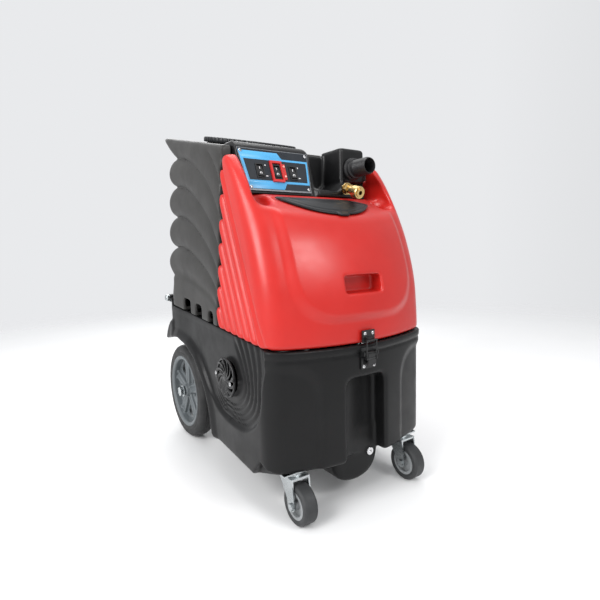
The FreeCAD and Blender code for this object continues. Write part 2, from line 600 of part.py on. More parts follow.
def inner_plumbing():
    """Stand pipe with windows under its closed top, guard bars, and a sleeve float."""
    x, y = PIPE_XY
    low = seam_z(y) + SEAM_GAP + FLOOR_RISE - WALL - 12.0
    stand = pipe("z", PIPE_R, PIPE_R - 4.0, low, CAGE_Z, x, y)
    for turn in (0.0, 90.0):
        window = box(-6.0, 6.0, -30.0, 30.0, CAGE_Z - 30.0, CAGE_Z - 13.0)
        window.rotate(Vector(0, 0, 0), Vector(0, 0, 1), turn)
        window.translate(Vector(x, y, 0))
        stand = stand.cut(window)
    collar = pipe("z", 27.0, PIPE_R - 1.0, low + 20.0, low + 24.0, x, y)
    bars = []
    for i in range(4):
        angle = math.radians(45 + 90 * i)
        bars.append(rod("z", 2.5, CAGE_Z - 62.0, CAGE_Z + 4.0, x + 31.0 * math.cos(angle),
                        y + 31.0 * math.sin(angle)))
    top = rod("z", 34.0, CAGE_Z, CAGE_Z + 4.0, x, y)
    foot = pipe("z", 34.0, PIPE_R - 1.0, CAGE_Z - 66.0, CAGE_Z - 62.0, x, y)
    save("stand_pipe", fused([stand, collar, top, foot] + bars))
    low = CAGE_Z - 61.5
    save("float_ring", pipe("z", 27.6, PIPE_R + 0.6, low, low + 24.0, x, y))


def dump_valve():
    """Knife-gate valve on the rear wall: flanged body, spout, and a gate with a T-handle."""
    x, z = DUMP
    face = DUMP_FACE_Y
    tail = pipe("y", DUMP_R, 19.0, face - 17.0, face, x, z)
    body = box(x - 34.0, x + 34.0, face, face + 18.0, z - 34.0, z + 36.0)
    body = body.cut(rod("y", 19.0, face - 5.0, face + 25.0, x, z))
    body = body.cut(box(x - 27.0, x + 27.0, face + 6.8, face + 11.2, z - 28.0, z + 50.0))
    spout = pipe("y", 25.0, 19.0, face + 18.0, face + 46.0, x, z)
    save("dump_valve", fused([tail, body, spout]))
    gate = fused([box(x - 26.6, x + 26.6, face + 7.2, face + 10.8, z - 27.5, z + 44.0),
                  rod("z", 4.0, z + 42.0, z + 62.0, x, face + 9.0),
                  rod("x", 6.0, x - 26.0, x + 26.0, face + 9.0, z + 66.0)])
    save("dump_gate", gate)


# ---------------------------------------------------------------- console
def panel_lean():
    rise = PANEL_HEAD[1] - PANEL_FOOT[1]
    back = PANEL_HEAD[0] - PANEL_FOOT[0]
    return math.degrees(math.atan2(rise, back))


def on_panel(shape):
    """Local x across, y up the panel, z out of it, origin at the middle of its lower edge."""
    middle = (-160.0 - 12.0) / 2.0
    place = Placement(Vector(middle, PANEL_FOOT[0], PANEL_FOOT[1]),
                      Rotation(Vector(1, 0, 0), panel_lean()))
    return placed(shape, place)


def console_housing():
    side = ((PANEL_FOOT[0], LEDGE_Z + 1.0), PANEL_FOOT, PANEL_HEAD,
            ((PANEL_HEAD[0] + 6.0, PANEL_HEAD[1] + 8.0), (PANEL_HEAD[0] + 18.0, PANEL_HEAD[1] + 12.0)),
            (CONSOLE_REAR_Y, CONSOLE_TOP_Z), (CONSOLE_REAR_Y, LEDGE_Z + 1.0))
    left = prism_x(side, -171.0, POCKET_X[0])
    hollow = ((PANEL_FOOT[0] + 8.0, LEDGE_Z - 5.0), (PANEL_FOOT[0] + 8.0, PANEL_FOOT[1] + 8.0),
              (PANEL_HEAD[0] + 5.0, PANEL_HEAD[1] - 2.0), (CONSOLE_REAR_Y - 4.0, CONSOLE_TOP_Z - 8.0),
              (CONSOLE_REAR_Y - 4.0, LEDGE_Z - 5.0))
    left = left.cut(prism_x(hollow, -167.0, POCKET_X[0] - 4.0))
    floor = box(POCKET_X[0], PORT_X[1] + 20.0, -190.0, CONSOLE_REAR_Y, LEDGE_Z + 1.0, LEDGE_Z + 18.0)
    lip = box(POCKET_X[0] + 6.0, PORT_X[1] - 44.0, -196.0, -186.0, LEDGE_Z + 3.0, LEDGE_Z + 36.0)
    back = box(POCKET_X[0], PORT_X[0], -104.0, CONSOLE_REAR_Y, LEDGE_Z + 1.0, CONSOLE_TOP_Z)
    port = box(PORT_X[0], PORT_X[1], PORT_FACE_Y, CONSOLE_REAR_Y, PORT_Z[0], PORT_Z[1])
    foot = box(PORT_X[0], PORT_X[1] - 6.0, PORT_FACE_Y + 12.0, CONSOLE_REAR_Y, LEDGE_Z + 1.0, PORT_Z[0])
    body = fused([left, floor, lip, back, port, foot])
    body = body.cut(rod("y", BARB_R - 3.0, PORT_FACE_Y - 5.0, CONSOLE_REAR_Y + 5.0, BARB_X, BARB_Z))
    # rocker openings and the coupler's seat
    for x in ROCKER_X:
        w, h = ROCKER_SIZE
        local = x + 86.0
        body = body.cut(on_panel(box(local - w / 2 - 1.0, local + w / 2 + 1.0, 45.0 - h / 2 - 1.0,
                                     45.0 + h / 2 + 1.0, -16.0, 10.0)))
    seat = placed(rod("z", 6.3, -16.0, 14.0), coupler_place())
    return body.cut(seat).removeSplitter()


def coupler_place():
    """Frame of the solution coupler, local Z out along its axis."""
    drop = math.radians(COUPLER_DROP)
    return along(COUPLER_X, COUPLER_Y, COUPLER_Z, (0, -math.cos(drop), -math.sin(drop)))


def console_parts():
    save("console_housing", console_housing())
    length = math.hypot(PANEL_HEAD[0] - PANEL_FOOT[0], PANEL_HEAD[1] - PANEL_FOOT[1])
    plate = prism_z(((-73.0, 2.0), (73.0, 2.0), (84.0, length - 2.0), (-84.0, length - 2.0)), 0.3, 2.8)
    for x in ROCKER_X:
        w, h = ROCKER_SIZE
        local = x + 86.0
        plate = plate.cut(box(local - w / 2 - 1.0, local + w / 2 + 1.0, 45.0 - h / 2 - 1.0,
                              45.0 + h / 2 + 1.0, -1.0, 5.0))
    save("panel_plate", on_panel(plate))
    screws = []
    for x, y in ((-68.0, 9.0), (68.0, 9.0), (-77.0, length - 9.0), (77.0, length - 9.0)):
        screws.append(on_panel(screw(3.4, 1.8, Placement(Vector(x, y, 2.85), Rotation()))))
    save("panel_screws", Part.makeCompound(screws))
    frames = []
    for x, name in zip(ROCKER_X, ("left", "middle", "right")):
        w, h = ROCKER_SIZE
        local = x + 86.0
        frame = box(local - w / 2 - 2.6, local + w / 2 + 2.6, 45.0 - h / 2 - 2.6, 45.0 + h / 2 + 2.6,
                    3.0, 4.6)
        frame = frame.cut(box(local - w / 2 - 0.4, local + w / 2 + 0.4, 45.0 - h / 2 - 0.4,
                              45.0 + h / 2 + 0.4, 0.0, 9.0))
        frames.append(on_panel(frame))
        half = h / 2.0
        cap = prism_x(((45.0 - half + 0.5, -3.0), (45.0 - half + 0.5, 1.5), (45.0 - half + 1.0, 6.4),
                       ((45.0, 4.2), (45.0 + half - 1.0, 2.4)), (45.0 + half - 1.0, -3.0)),
                      local - w / 2 + 0.2, local + w / 2 - 0.2)
        trunnions = rod("x", 2.0, local - w / 2 - 0.5, local + w / 2 + 0.5, 45.0, 0.0)
        save("rocker_" + name, on_panel(cap.fuse(trunnions).removeSplitter()))
    save("rocker_frames", Part.makeCompound(frames))
    # raised guard round the middle rocker, with a lamp strip beside it
    local = ROCKER_X[1] + 86.0
    guard = box(local - 14.0, local + 13.0, 22.0, 68.0, 3.0, 7.0)
    guard = guard.cut(box(local - 10.0, local + 9.6, 27.0, 63.0, 0.0, 9.0))
    guard = guard.fuse(box(local + 13.0, local + 20.0, 28.0, 62.0, 3.0, 6.0))
    save("switch_guard", on_panel(guard.removeSplitter()))
    lamps = [on_panel(turned(((0.0, 6.2), (2.4, 6.2), (2.4, 7.4), ((1.8, 8.1), (0.8, 8.4)), (0.0, 8.4)),
                             Placement(Vector(local + 16.6, y, 0), Rotation()))) for y in (34.0, 56.0)]
    save("guard_lamps", Part.makeCompound(lamps))
    # vacuum barb: flange, ringed body, chamfered mouth
    root = PORT_FACE_Y
    crest = BARB_R - 0.05
    rings = []
    for z in (30.0, 38.0, 46.0):
        rings += [(17.9, z), (crest, z + 2.0), (crest - 0.4, z + 4.0)]
    barb = turned([(BARB_BORE, 0.3), (25.0, 0.3), (25.0, 6.0), (22.0, 8.0), (22.0, 14.0),
                   (BARB_R, 14.0), (BARB_R, 28.0)] + rings +
                  [(17.4, BARB_LENGTH - 1.0), (16.6, BARB_LENGTH), (BARB_BORE, BARB_LENGTH)],
                  along(BARB_X, root, BARB_Z, (0, -1, 0)))
    save("vacuum_barb", barb)
    # brass quick coupler: body with a hex, a neck and a sliding collar
    place = coupler_place()
    nut = Part.Face(Part.makePolygon([Vector(12.0 * math.cos(math.radians(60 * i)),
                                             12.0 * math.sin(math.radians(60 * i)), 2.5)
                                      for i in range(7)])).extrude(Vector(0, 0, 9.0))
    body = fused([nut, rod("z", 6.0, -10.0, 2.5), rod("z", 12.6, 0.4, 2.5), rod("z", 8.0, 11.5, 20.0),
                  rod("z", 9.0, 20.0, 48.0)]).cut(rod("z", 4.6, 14.0, 60.0))
    save("coupler_body", placed(body, place))
    collar = turned(((9.05, 28.0), (12.6, 28.0), (13.4, 30.0), (13.4, 44.0), (12.4, 46.0), (9.05, 46.0)),
                    place)
    save("coupler_collar", collar)


# ---------------------------------------------------------------- latch and rear hinge
def latch():
    y, z = LATCH_PIVOT
    plate = box(-19.0, 19.0, FRONT_Y - 3.2, FRONT_Y - 0.3, 279.0, 320.0)
    ears = [box(x, x + 2.4, y - 4.0, FRONT_Y - 3.0, z - 4.0, z + 4.0) for x in (-18.6, 16.2)]
    plate = fused([plate] + ears).cut(rod("x", 2.02, -25.0, 25.0, y, z))
    save("latch_plate", plate)
    screws = [screw(3.4, 1.8, along(x, FRONT_Y - 3.25, 284.0, (0, -1, 0))) for x in (-13.0, 13.0)]
    save("latch_plate_screws", Part.makeCompound(screws))
    lever = fused([box(-8.6, 8.6, y - 4.2, y - 0.8, z - 23.0, z - 0.6),
                   rod("x", 3.2, -8.6, 8.6, y, z),
                   rod("x", 1.95, -18.4, 18.4, y, z),
                   rod("x", 1.6, -14.0, 14.0, BAIL_PIVOT[0] + 1.0, BAIL_PIVOT[1] - 1.0)])
    save("latch_lever", lever)
    wires = []
    for x in (-12.2, 12.2):
        wires.append(rod("z", 1.3, BAIL_PIVOT[1] + 1.4, BAIL_BAR_Z, x, BAIL_PIVOT[0]))
        wires.append(pipe("x", 3.0, 1.68, x - 1.6, x + 1.6, BAIL_PIVOT[0] + 1.0, BAIL_PIVOT[1] - 1.0))
    wires.append(rod("x", 1.6, -14.2, 14.2, BAIL_PIVOT[0], BAIL_BAR_Z))
    save("latch_bail", fused(wires))
    # keeper on the solution tank, just behind the bail's bar
    base = box(-15.5, 15.5, FRONT_Y - 3.2, FRONT_Y - 0.3, 329.0, 353.0)
    hook = prism_x(((FRONT_Y - 3.0, 329.0), (BAIL_PIVOT[0] + 2.7, 331.0), (BAIL_PIVOT[0] + 2.7, 338.0),
                    (FRONT_Y - 3.0, 341.0)), -9.0, 9.0)
    save("latch_keeper", base.fuse(hook).removeSplitter())
    screws = [screw(3.6, 1.9, along(x, FRONT_Y - 3.25, 347.0, (0, -1, 0))) for x in (-9.5, 9.5)]
    save("keeper_screws", Part.makeCompound(screws))


def rear_hinge():
    """A full-width rod through two brackets on the base and one on the tank."""
    y, z = HINGE_Y, HINGE_Z
    save("hinge_rod", rod("x", HINGE_ROD_R, -200.0, 200.0, y, z))
    nuts = []
    for side in (-1, 1):
        start = along(side * 192.3, y, z, (side, 0, 0))
        nuts.append(turned(((HINGE_ROD_R + 0.02, 0.0), (9.0, 0.0), (9.0, 6.0), ((7.4, 9.4), (3.0, 10.6)),
                            (0.0, 10.6), (0.0, 7.9), (HINGE_ROD_R + 0.02, 7.9)), start))
    save("hinge_nuts", Part.makeCompound(nuts))
    for side, name in ((-1, "left"), (1, "right")):
        x0, x1 = sorted((side * 152.0, side * 192.0))
        leaf = box(x0, x1, REAR_Y + 0.3, REAR_Y + 4.3, 334.0, z)
        eye = rod("x", 10.0, x0, x1, y, z).fuse(box(x0, x1, REAR_Y + 0.3, y, z - 10.0, z - 4.0))
        bracket = leaf.fuse(eye).cut(rod("x", HINGE_ROD_R + 0.05, x0 - 5, x1 + 5, y, z))
        bracket = bracket.cut(box(x0 - 5, x1 + 5, REAR_Y - 40.0, REAR_Y + 0.3, 300.0, 420.0))
        save("base_hinge_bracket_" + name, bracket.removeSplitter())
    tank_eye = rod("x", 9.0, -148.0, 148.0, y, z)
    tank_leaf = box(-148.0, 148.0, REAR_Y + 0.3, REAR_Y + 3.8, z - 6.0, z + 34.0)
    arm = box(-148.0, 148.0, REAR_Y + 0.3, y, z - 3.0, z + 8.0)
    bracket = fused([tank_eye, tank_leaf, arm])
    bracket = bracket.cut(rod("x", HINGE_ROD_R + 0.08, -160.0, 160.0, y, z))
    save("tank_hinge_bracket", bracket)


# ---------------------------------------------------------------- build
chassis_parts()
running_gear()
save("solution_tank", solution_tank())
save("recovery_tank", recovery_tank())
lids()
inner_plumbing()
dump_valve()
console_parts()
latch()
rear_hinge()
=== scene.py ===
import json
import math

import bmesh
import bpy
import numpy as np
from mathutils import Matrix, Vector


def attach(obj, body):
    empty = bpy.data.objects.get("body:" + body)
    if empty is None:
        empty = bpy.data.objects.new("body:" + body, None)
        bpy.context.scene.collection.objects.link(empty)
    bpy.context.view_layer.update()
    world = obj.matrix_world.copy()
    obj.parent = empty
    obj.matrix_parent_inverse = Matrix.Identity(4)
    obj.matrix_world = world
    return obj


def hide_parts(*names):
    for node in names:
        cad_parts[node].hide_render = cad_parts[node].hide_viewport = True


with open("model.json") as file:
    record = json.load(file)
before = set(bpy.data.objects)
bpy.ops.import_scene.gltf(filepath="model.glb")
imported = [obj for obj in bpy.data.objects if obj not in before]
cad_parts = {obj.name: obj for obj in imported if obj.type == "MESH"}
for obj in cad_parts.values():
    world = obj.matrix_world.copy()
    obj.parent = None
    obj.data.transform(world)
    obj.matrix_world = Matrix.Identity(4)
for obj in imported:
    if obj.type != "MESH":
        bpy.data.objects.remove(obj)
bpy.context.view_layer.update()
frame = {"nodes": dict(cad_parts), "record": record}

# Shapes are worked out in millimetres in the CAD frame, and become metres when a mesh is made.
MM = 0.001
FRONT_Y = -338.0                    # front of the base at the middle
HALF_WIDTH = 199.0
SEAM_SLOPE = 0.085                  # rise of the parting line towards the rear
SEAM_FRONT_Z = 325.0
FLOOR_Z = 97.0                      # underside of the base
WALL = 8.5
BOW = 39.0                          # how far the front corners lie behind the middle
SUMP_Y, SUMP_Z, SUMP_HALF = -302.0, 36.0, 60.0
DRAIN_X, DRAIN_Z = 34.0, 90.0
WHEEL_X, WHEEL_Y, WHEEL_Z = 147.0, 225.0, 127.0
VENT_Y, VENT_Z = -128.0, 249.0
LEDGE_Z = 618.0                     # ledge of the red tank that carries the console
HORN_X = 174.0                      # inner face of the horns beside the console
POCKET_Z = 441.0                    # hand pocket
TOP_SLOPE = 0.245                   # of the recovery tank's top
TOP_Z, TOP_Y = 728.0, -88.0         # front edge of that top
LID_Y = 103.0                       # middle of the round lid
FILL_TILT = math.radians(30.0)
FILL_Y, FILL_Z = -200.0, 610.0      # where the fill lid's slope begins, behind the lid
PANEL_X, PANEL_Y, PANEL_Z = -86.0, -182.0, 622.0    # foot of the control panel
PANEL_RISE, PANEL_BACK = 90.0, 32.0
BARB_X, BARB_Z = 114.0, 686.0


# ---------------------------------------------------------------- soft maths
def smin(a, b, k):
    """Smaller of two distances, with the crease between them rounded over k millimetres."""
    h = np.maximum(k - np.abs(a - b), 0.0) / k
    return np.minimum(a, b) - h * h * k * 0.25


def smax(a, b, k):
    """Larger of two distances, rounded in the same way."""
    return -smin(-a, -b, k)


def ramp(x, a, b):
    """Smooth step from 0 at a to 1 at b."""
    t = np.clip((x - a) / (b - a), 0.0, 1.0)
    return t * t * (3.0 - 2.0 * t)


def hump(x, w):
    """Bell of height 1 and width w."""
    return np.exp(-(x / w) ** 2)


def arch(u):
    """Cross-section of a rounded rib: 0 in the softened creases at u = 0 and 1, and 1 on its back."""
    soft = 0.03
    wave = np.sqrt(np.sin(math.pi * u) ** 2 + soft)
    return (wave - math.sqrt(soft)) / (math.sqrt(1.0 + soft) - math.sqrt(soft))


def lobe(u):
    """As arch, but with a fuller back and narrower creases."""
    low = math.sqrt(0.09)
    return (np.sqrt(np.maximum(1.0 - 0.91 * (2.0 * u - 1.0) ** 2, 0.0)) - low) / (1.0 - low)


def curve(t, ts, vs):
    """Smooth curve through points (ts, vs), flat beyond its ends."""
    ts, vs = np.array(ts, float), np.array(vs, float)
    m = np.gradient(vs, ts)
    t = np.clip(t, ts[0], ts[-1])
    i = np.clip(np.searchsorted(ts, t) - 1, 0, len(ts) - 2)
    h = ts[i + 1] - ts[i]
    u = (t - ts[i]) / h
    u2, u3 = u * u, u * u * u
    return ((2 * u3 - 3 * u2 + 1) * vs[i] + (u3 - 2 * u2 + u) * h * m[i]
            + (3 * u2 - 2 * u3) * vs[i + 1] + (u3 - u2) * h * m[i + 1])


def seam(y):
    """Height of the parting line between the base and the tanks."""
    return SEAM_FRONT_Z + (y - FRONT_Y) * SEAM_SLOPE


def polygon(a, b, points):
    """Distance from (a, b) to a closed outline, negative inside."""
    best, inside = 1e9, False
    for (ax, ay), (bx, by) in zip(points, points[1:] + points[:1]):
        ex, ey = bx - ax, by - ay
        wx, wy = a - ax, b - ay
        t = np.clip((wx * ex + wy * ey) / (ex * ex + ey * ey), 0.0, 1.0)
        best = np.minimum(best, np.hypot(wx - ex * t, wy - ey * t))
        crosses = ((ay <= b) & (by > b)) | ((by <= b) & (ay > b))
        if abs(ey) > 1e-9:
            inside = inside ^ (crosses & (wx < ex * wy / ey))
    return np.where(inside, -best, best)


# ---------------------------------------------------------------- meshes
def link(name, mesh, body, slot, *nodes):
    """Adds a mesh to the scene as a piece of a body, with the CAD nodes that it stands for."""
    piece = bpy.data.objects.new(name, mesh)
    bpy.context.scene.collection.objects.link(piece)
    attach(piece, body)
    if nodes:
        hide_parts(*nodes)
    return piece


def finish_mesh(mesh, sharp):
    """Smooth shading, except across edges sharper than an angle in degrees."""
    mesh.polygons.foreach_set("use_smooth", np.ones(len(mesh.polygons), bool))
    mesh.set_sharp_from_angle(angle=math.radians(sharp))
    mesh.update()
    return mesh


def net(name, field, low, high, step, slope=0.0, place=None, sharp=38.0):
    """Mesh of the surface where field(x, y, z) is 0, with one point in each cell it crosses."""
    low = np.array(low, float)
    counts = np.ceil((np.array(high) - low) / step).astype(int) + 1
    axes = [low[i] + step * np.arange(counts[i]) for i in range(3)]

    def value(x, y, z):
        return field(x, y, z + slope * (y - FRONT_Y))

    grid = np.empty(counts, np.float32)
    grid[:] = value(axes[0][:, None, None], axes[1][None, :, None], axes[2][None, None, :])
    inside = grid < 0
    total = sum(inside[i:counts[0] - 1 + i, j:counts[1] - 1 + j, k:counts[2] - 1 + k].astype(np.int8)
                for i in (0, 1) for j in (0, 1) for k in (0, 1))
    cells = np.argwhere((total > 0) & (total < 8))
    number = np.full(total.shape, -1, np.int32)
    number[tuple(cells.T)] = np.arange(len(cells))
    corners = [np.array(c) for c in np.ndindex(2, 2, 2)]
    points, hits = np.zeros((len(cells), 3)), np.zeros(len(cells))
    for a in corners:
        for axis in range(3):
            if a[axis]:
                continue
            b = a.copy()
            b[axis] = 1
            va, vb = grid[tuple((cells + a).T)], grid[tuple((cells + b).T)]
            cross = (va < 0) != (vb < 0)
            t = np.where(cross, va / np.where(cross, va - vb, 1.0), 0.0)
            points += cross[:, None] * (a + (b - a) * t[:, None])
            hits += cross
    start = low + (cells + points / hits[:, None]) * step
    moved = start.copy()
    reach = 0.05 * step
    for _ in range(3):
        x, y, z = moved.T
        f = value(x, y, z)
        slopes = np.stack([value(x + reach, y, z) - value(x - reach, y, z),
                           value(x, y + reach, z) - value(x, y - reach, z),
                           value(x, y, z + reach) - value(x, y, z - reach)], 1) / (2 * reach)
        size = np.maximum((slopes ** 2).sum(1), 0.2)
        moved -= 0.8 * slopes * (f / size)[:, None]
        moved = start + np.clip(moved - start, -0.5 * step, 0.5 * step)
    moved[:, 2] += slope * (moved[:, 1] - FRONT_Y)
    faces = []
    for axis in range(3):
        u, v = (axis + 1) % 3, (axis + 2) % 3
        first = [slice(0, -1) if i == axis else slice(1, -1) for i in range(3)]
        second = [slice(1, None) if i == axis else slice(1, -1) for i in range(3)]
        here, there = inside[tuple(first)], inside[tuple(second)]
        edges = np.argwhere(here != there)
        base = edges + np.array([0 if i == axis else 1 for i in range(3)])
        outwards = here[tuple(edges.T)]
        ring = []
        for du, dv in ((-1, -1), (0, -1), (0, 0), (-1, 0)):
            cell = base.copy()
            cell[:, u] += du
            cell[:, v] += dv
            ring.append(number[tuple(cell.T)])
        ring = np.stack(ring, 1)
        faces.append(np.where(outwards[:, None], ring, ring[:, ::-1]))
    faces = np.concatenate(faces)
    faces = faces[(faces >= 0).all(1)]
    mesh = bpy.data.meshes.new(name)
    mesh.vertices.add(len(moved))
    mesh.vertices.foreach_set("co", (moved * MM).astype(np.float32).ravel())
    mesh.loops.add(faces.size)
    mesh.loops.foreach_set("vertex_index", faces.ravel().astype(np.int32))
    mesh.polygons.add(len(faces))
    mesh.polygons.foreach_set("loop_start", np.arange(0, faces.size, 4, dtype=np.int32))
    mesh.update(calc_edges=True)
    mesh.validate()
    if place is not None:
        mesh.transform(place)
    print("net", name, len(faces), "faces")
    return finish_mesh(mesh, sharp)


def lathe(name, profile, place, turns=96, wobble=None, sharp=38.0):
    """Closed ring swept round local Z from (radius, height) points in mm.

    wobble(angle, i) adds to the radius of point i.
    """
    bm = bmesh.new()
    rings = []
    for t in range(turns):
        angle = 2.0 * math.pi * t / turns
        c, s = math.cos(angle), math.sin(angle)
        ring = []
        for i, (r, h) in enumerate(profile):
            r = r + (wobble(angle, i) if wobble else 0.0)
            ring.append(bm.verts.new((r * c * MM, r * s * MM, h * MM)))
        rings.append(ring)
    n = len(profile)
    for t in range(turns):
        a, b = rings[t], rings[(t + 1) % turns]
        for i in range(n):
            j = (i + 1) % n
            bm.faces.new((a[i], b[i], b[j], a[j]))
    bmesh.ops.remove_doubles(bm, verts=bm.verts, dist=1e-6)
    bmesh.ops.dissolve_degenerate(bm, dist=1e-7, edges=bm.edges)
    bmesh.ops.recalc_face_normals(bm, faces=bm.faces)
    mesh = bpy.data.meshes.new(name)
    bm.to_mesh(mesh)
    bm.free()
    mesh.transform(place)
    return finish_mesh(mesh, sharp)


def axis_place(x, y, z, direction):
    """Local Z along a direction, origin at a point in millimetres."""
    turn = Vector(direction).to_track_quat("Z", "Y").to_matrix().to_4x4()
    return Matrix.Translation(Vector((x, y, z)) * MM) @ turn


def extruded(name, outline, low, high, place, bevel=0.0, holes=()):
    """Plate with a 2D outline in mm between two local heights, edges rounded by a bevel."""
    bm = bmesh.new()
    edges = []
    for loop in (outline, *holes):
        verts = [bm.verts.new((x * MM, y * MM, low * MM)) for x, y in loop]
        edges += [bm.edges.new(pair) for pair in zip(verts, verts[1:] + verts[:1])]
    if holes:
        bmesh.ops.triangle_fill(bm, edges=edges, use_beauty=True)
    else:
        bm.faces.new(verts)
    made = bmesh.ops.extrude_face_region(bm, geom=bm.faces[:])
    tops = [v for v in made["geom"] if isinstance(v, bmesh.types.BMVert)]
    bmesh.ops.translate(bm, verts=tops, vec=(0, 0, (high - low) * MM))
    bmesh.ops.recalc_face_normals(bm, faces=bm.faces)
    if bevel:
        rims = [e for e in bm.edges if len(e.link_faces) == 2 and e.calc_face_angle() > 0.9]
        bmesh.ops.bevel(bm, geom=rims, offset=bevel * MM, segments=2, affect="EDGES", profile=0.5)
    mesh = bpy.data.meshes.new(name)
    bm.to_mesh(mesh)
    bm.free()
    mesh.transform(place)
    return finish_mesh(mesh, 35.0)


# ---------------------------------------------------------------- materials
def new_material(name):
    mat = bpy.data.materials.new(name)
    mat.use_nodes = True
    tree = mat.node_tree
    shader = tree.nodes["Principled BSDF"]
    coords = tree.nodes.new("ShaderNodeTexCoord")
    return mat, tree, shader, coords.outputs["Object"]


def noise(tree, coords, scale, detail=3.0, rough=0.55, stretch=None):
    node = tree.nodes.new("ShaderNodeTexNoise")
    node.inputs["Scale"].default_value = scale
    node.inputs["Detail"].default_value = detail
    node.inputs["Roughness"].default_value = rough
    if stretch:
        mapping = tree.nodes.new("ShaderNodeMapping")
        mapping.inputs["Scale"].default_value = stretch
        tree.links.new(coords, mapping.inputs["Vector"])
        coords = mapping.outputs["Vector"]
    tree.links.new(coords, node.inputs["Vector"])
    return node.outputs["Fac"]


def between(tree, value, low, high, spread=(0.3, 0.7)):
    node = tree.nodes.new("ShaderNodeMapRange")
    node.inputs["From Min"].default_value, node.inputs["From Max"].default_value = spread
    node.inputs["To Min"].default_value, node.inputs["To Max"].default_value = low, high
    tree.links.new(value, node.inputs["Value"])
    return node.outputs["Result"]


def tint(tree, value, first, second, spread=(0.3, 0.7)):
    node = tree.nodes.new("ShaderNodeValToRGB")
    ends = node.color_ramp.elements
    ends[0].position, ends[1].position = spread
    ends[0].color, ends[1].color = (*first, 1.0), (*second, 1.0)
    tree.links.new(value, node.inputs["Fac"])
    return node.outputs["Color"]


def bump(tree, shader, layers):
    """Adds bumps in turn: (height value, depth in metres)."""
    last = None
    for height, depth in layers:
        node = tree.nodes.new("ShaderNodeBump")
        node.inputs["Strength"].default_value = 1.0
        node.inputs["Distance"].default_value = depth
        tree.links.new(height, node.inputs["Height"])
        if last is not None:
            tree.links.new(last, node.inputs["Normal"])
        last = node.outputs["Normal"]
    tree.links.new(last, shader.inputs["Normal"])


def moulded(name, colour, rough, peel=0.00006, pebble=0.00003, coat=0.0, spread=0.12, specular=0.5):
    """Rotomoulded or injection-moulded plastic: orange peel, pebble grain, faint mottling and scuffs."""
    mat, tree, shader, coords = new_material(name)
    darker = tuple(c * (1.0 - spread) for c in colour)
    lighter = tuple(min(1.0, c * (1.0 + spread)) for c in colour)
    cloud = noise(tree, coords, 9.0, 4.0)
    tree.links.new(tint(tree, cloud, darker, lighter), shader.inputs["Base Color"])
    scuff = noise(tree, coords, 24.0, 6.0, 0.6)
    tree.links.new(between(tree, scuff, rough - 0.05, rough + 0.09), shader.inputs["Roughness"])
    shader.inputs["Specular IOR Level"].default_value = specular
    shader.inputs["Coat Weight"].default_value = coat
    shader.inputs["Coat Roughness"].default_value = 0.22
    bump(tree, shader, [(noise(tree, coords, 130.0, 2.0), peel), (noise(tree, coords, 900.0, 2.0), pebble)])
    return mat


def metal(name, colour, rough, grain=(1.0, 1.0, 14.0), scale=120.0, dirt=0.25):
    mat, tree, shader, coords = new_material(name)
    dull = tuple(c * (1.0 - dirt) for c in colour)
    tree.links.new(tint(tree, noise(tree, coords, 30.0, 5.0), dull, colour), shader.inputs["Base Color"])
    lines = noise(tree, coords, scale, 4.0, 0.6, grain)
    tree.links.new(between(tree, lines, rough - 0.07, rough + 0.12), shader.inputs["Roughness"])
    shader.inputs["Metallic"].default_value = 1.0
    bump(tree, shader, [(lines, 0.00002), (noise(tree, coords, 45.0, 3.0), 0.00005)])
    return mat


def rubber(name, colour, rough):
    mat, tree, shader, coords = new_material(name)
    dusty = tuple(c * 1.5 + 0.012 for c in colour)
    tree.links.new(tint(tree, noise(tree, coords, 26.0, 6.0, 0.65), colour, dusty, (0.35, 0.85)),
                   shader.inputs["Base Color"])
    tree.links.new(between(tree, noise(tree, coords, 60.0, 3.0), rough - 0.08, rough + 0.1),
                   shader.inputs["Roughness"])
    shader.inputs["Specular IOR Level"].default_value = 0.35
    bump(tree, shader, [(noise(tree, coords, 600.0, 2.0), 0.00004)])
    return mat


def lens(name, colour):
    mat, tree, shader, coords = new_material(name)
    tree.links.new(tint(tree, noise(tree, coords, 300.0), tuple(c * 0.8 for c in colour), colour),
                   shader.inputs["Base Color"])
    shader.inputs["Roughness"].default_value = 0.12
    shader.inputs["Coat Weight"].default_value = 0.6
    bump(tree, shader, [(noise(tree, coords, 700.0), 0.00003)])
    return mat


BLACK = moulded("shell_black", (0.0060, 0.0060, 0.0063), 0.36, specular=0.20)
DARK = moulded("tank_dark", (0.027, 0.026, 0.0245), 0.44, specular=0.36)
RED = moulded("shell_red", (0.47, 0.013, 0.009), 0.34, coat=0.10, spread=0.06, specular=0.4)
CONSOLE = moulded("console_satin", (0.0065, 0.0065, 0.007), 0.33, specular=0.3)
LID_MAT = moulded("lid_black", (0.008, 0.009, 0.0105), 0.36, peel=0.00003, pebble=0.00006, specular=0.32)
KNOB = moulded("barb_plastic", (0.012, 0.012, 0.013), 0.40, peel=0.00002, specular=0.4)
GRILLE = moulded("grille_black", (0.010, 0.010, 0.0105), 0.34, peel=0.00002, specular=0.45)
GUARD = moulded("guard_red", (0.50, 0.016, 0.014), 0.30, peel=0.00001, pebble=0.00001, coat=0.3)
ROCKER = moulded("rocker_black", (0.010, 0.010, 0.011), 0.24, peel=0.00001, pebble=0.00001, coat=0.2)
OVER_BLUE = moulded("overlay_blue", (0.075, 0.36, 0.66), 0.30, peel=0.000005, pebble=0.00001, spread=0.05)
OVER_BLACK = moulded("overlay_black", (0.008, 0.012, 0.018), 0.28, peel=0.000005, pebble=0.00001)
MARK_WHITE = moulded("mark_white", (0.80, 0.80, 0.80), 0.4, peel=0.000002, pebble=0.000004, spread=0.04)
RIM_GREY = moulded("rim_grey", (0.105, 0.118, 0.125), 0.42, peel=0.00003, specular=0.4)
CORE_GREY = moulded("core_grey", (0.22, 0.23, 0.235), 0.42, peel=0.00002)
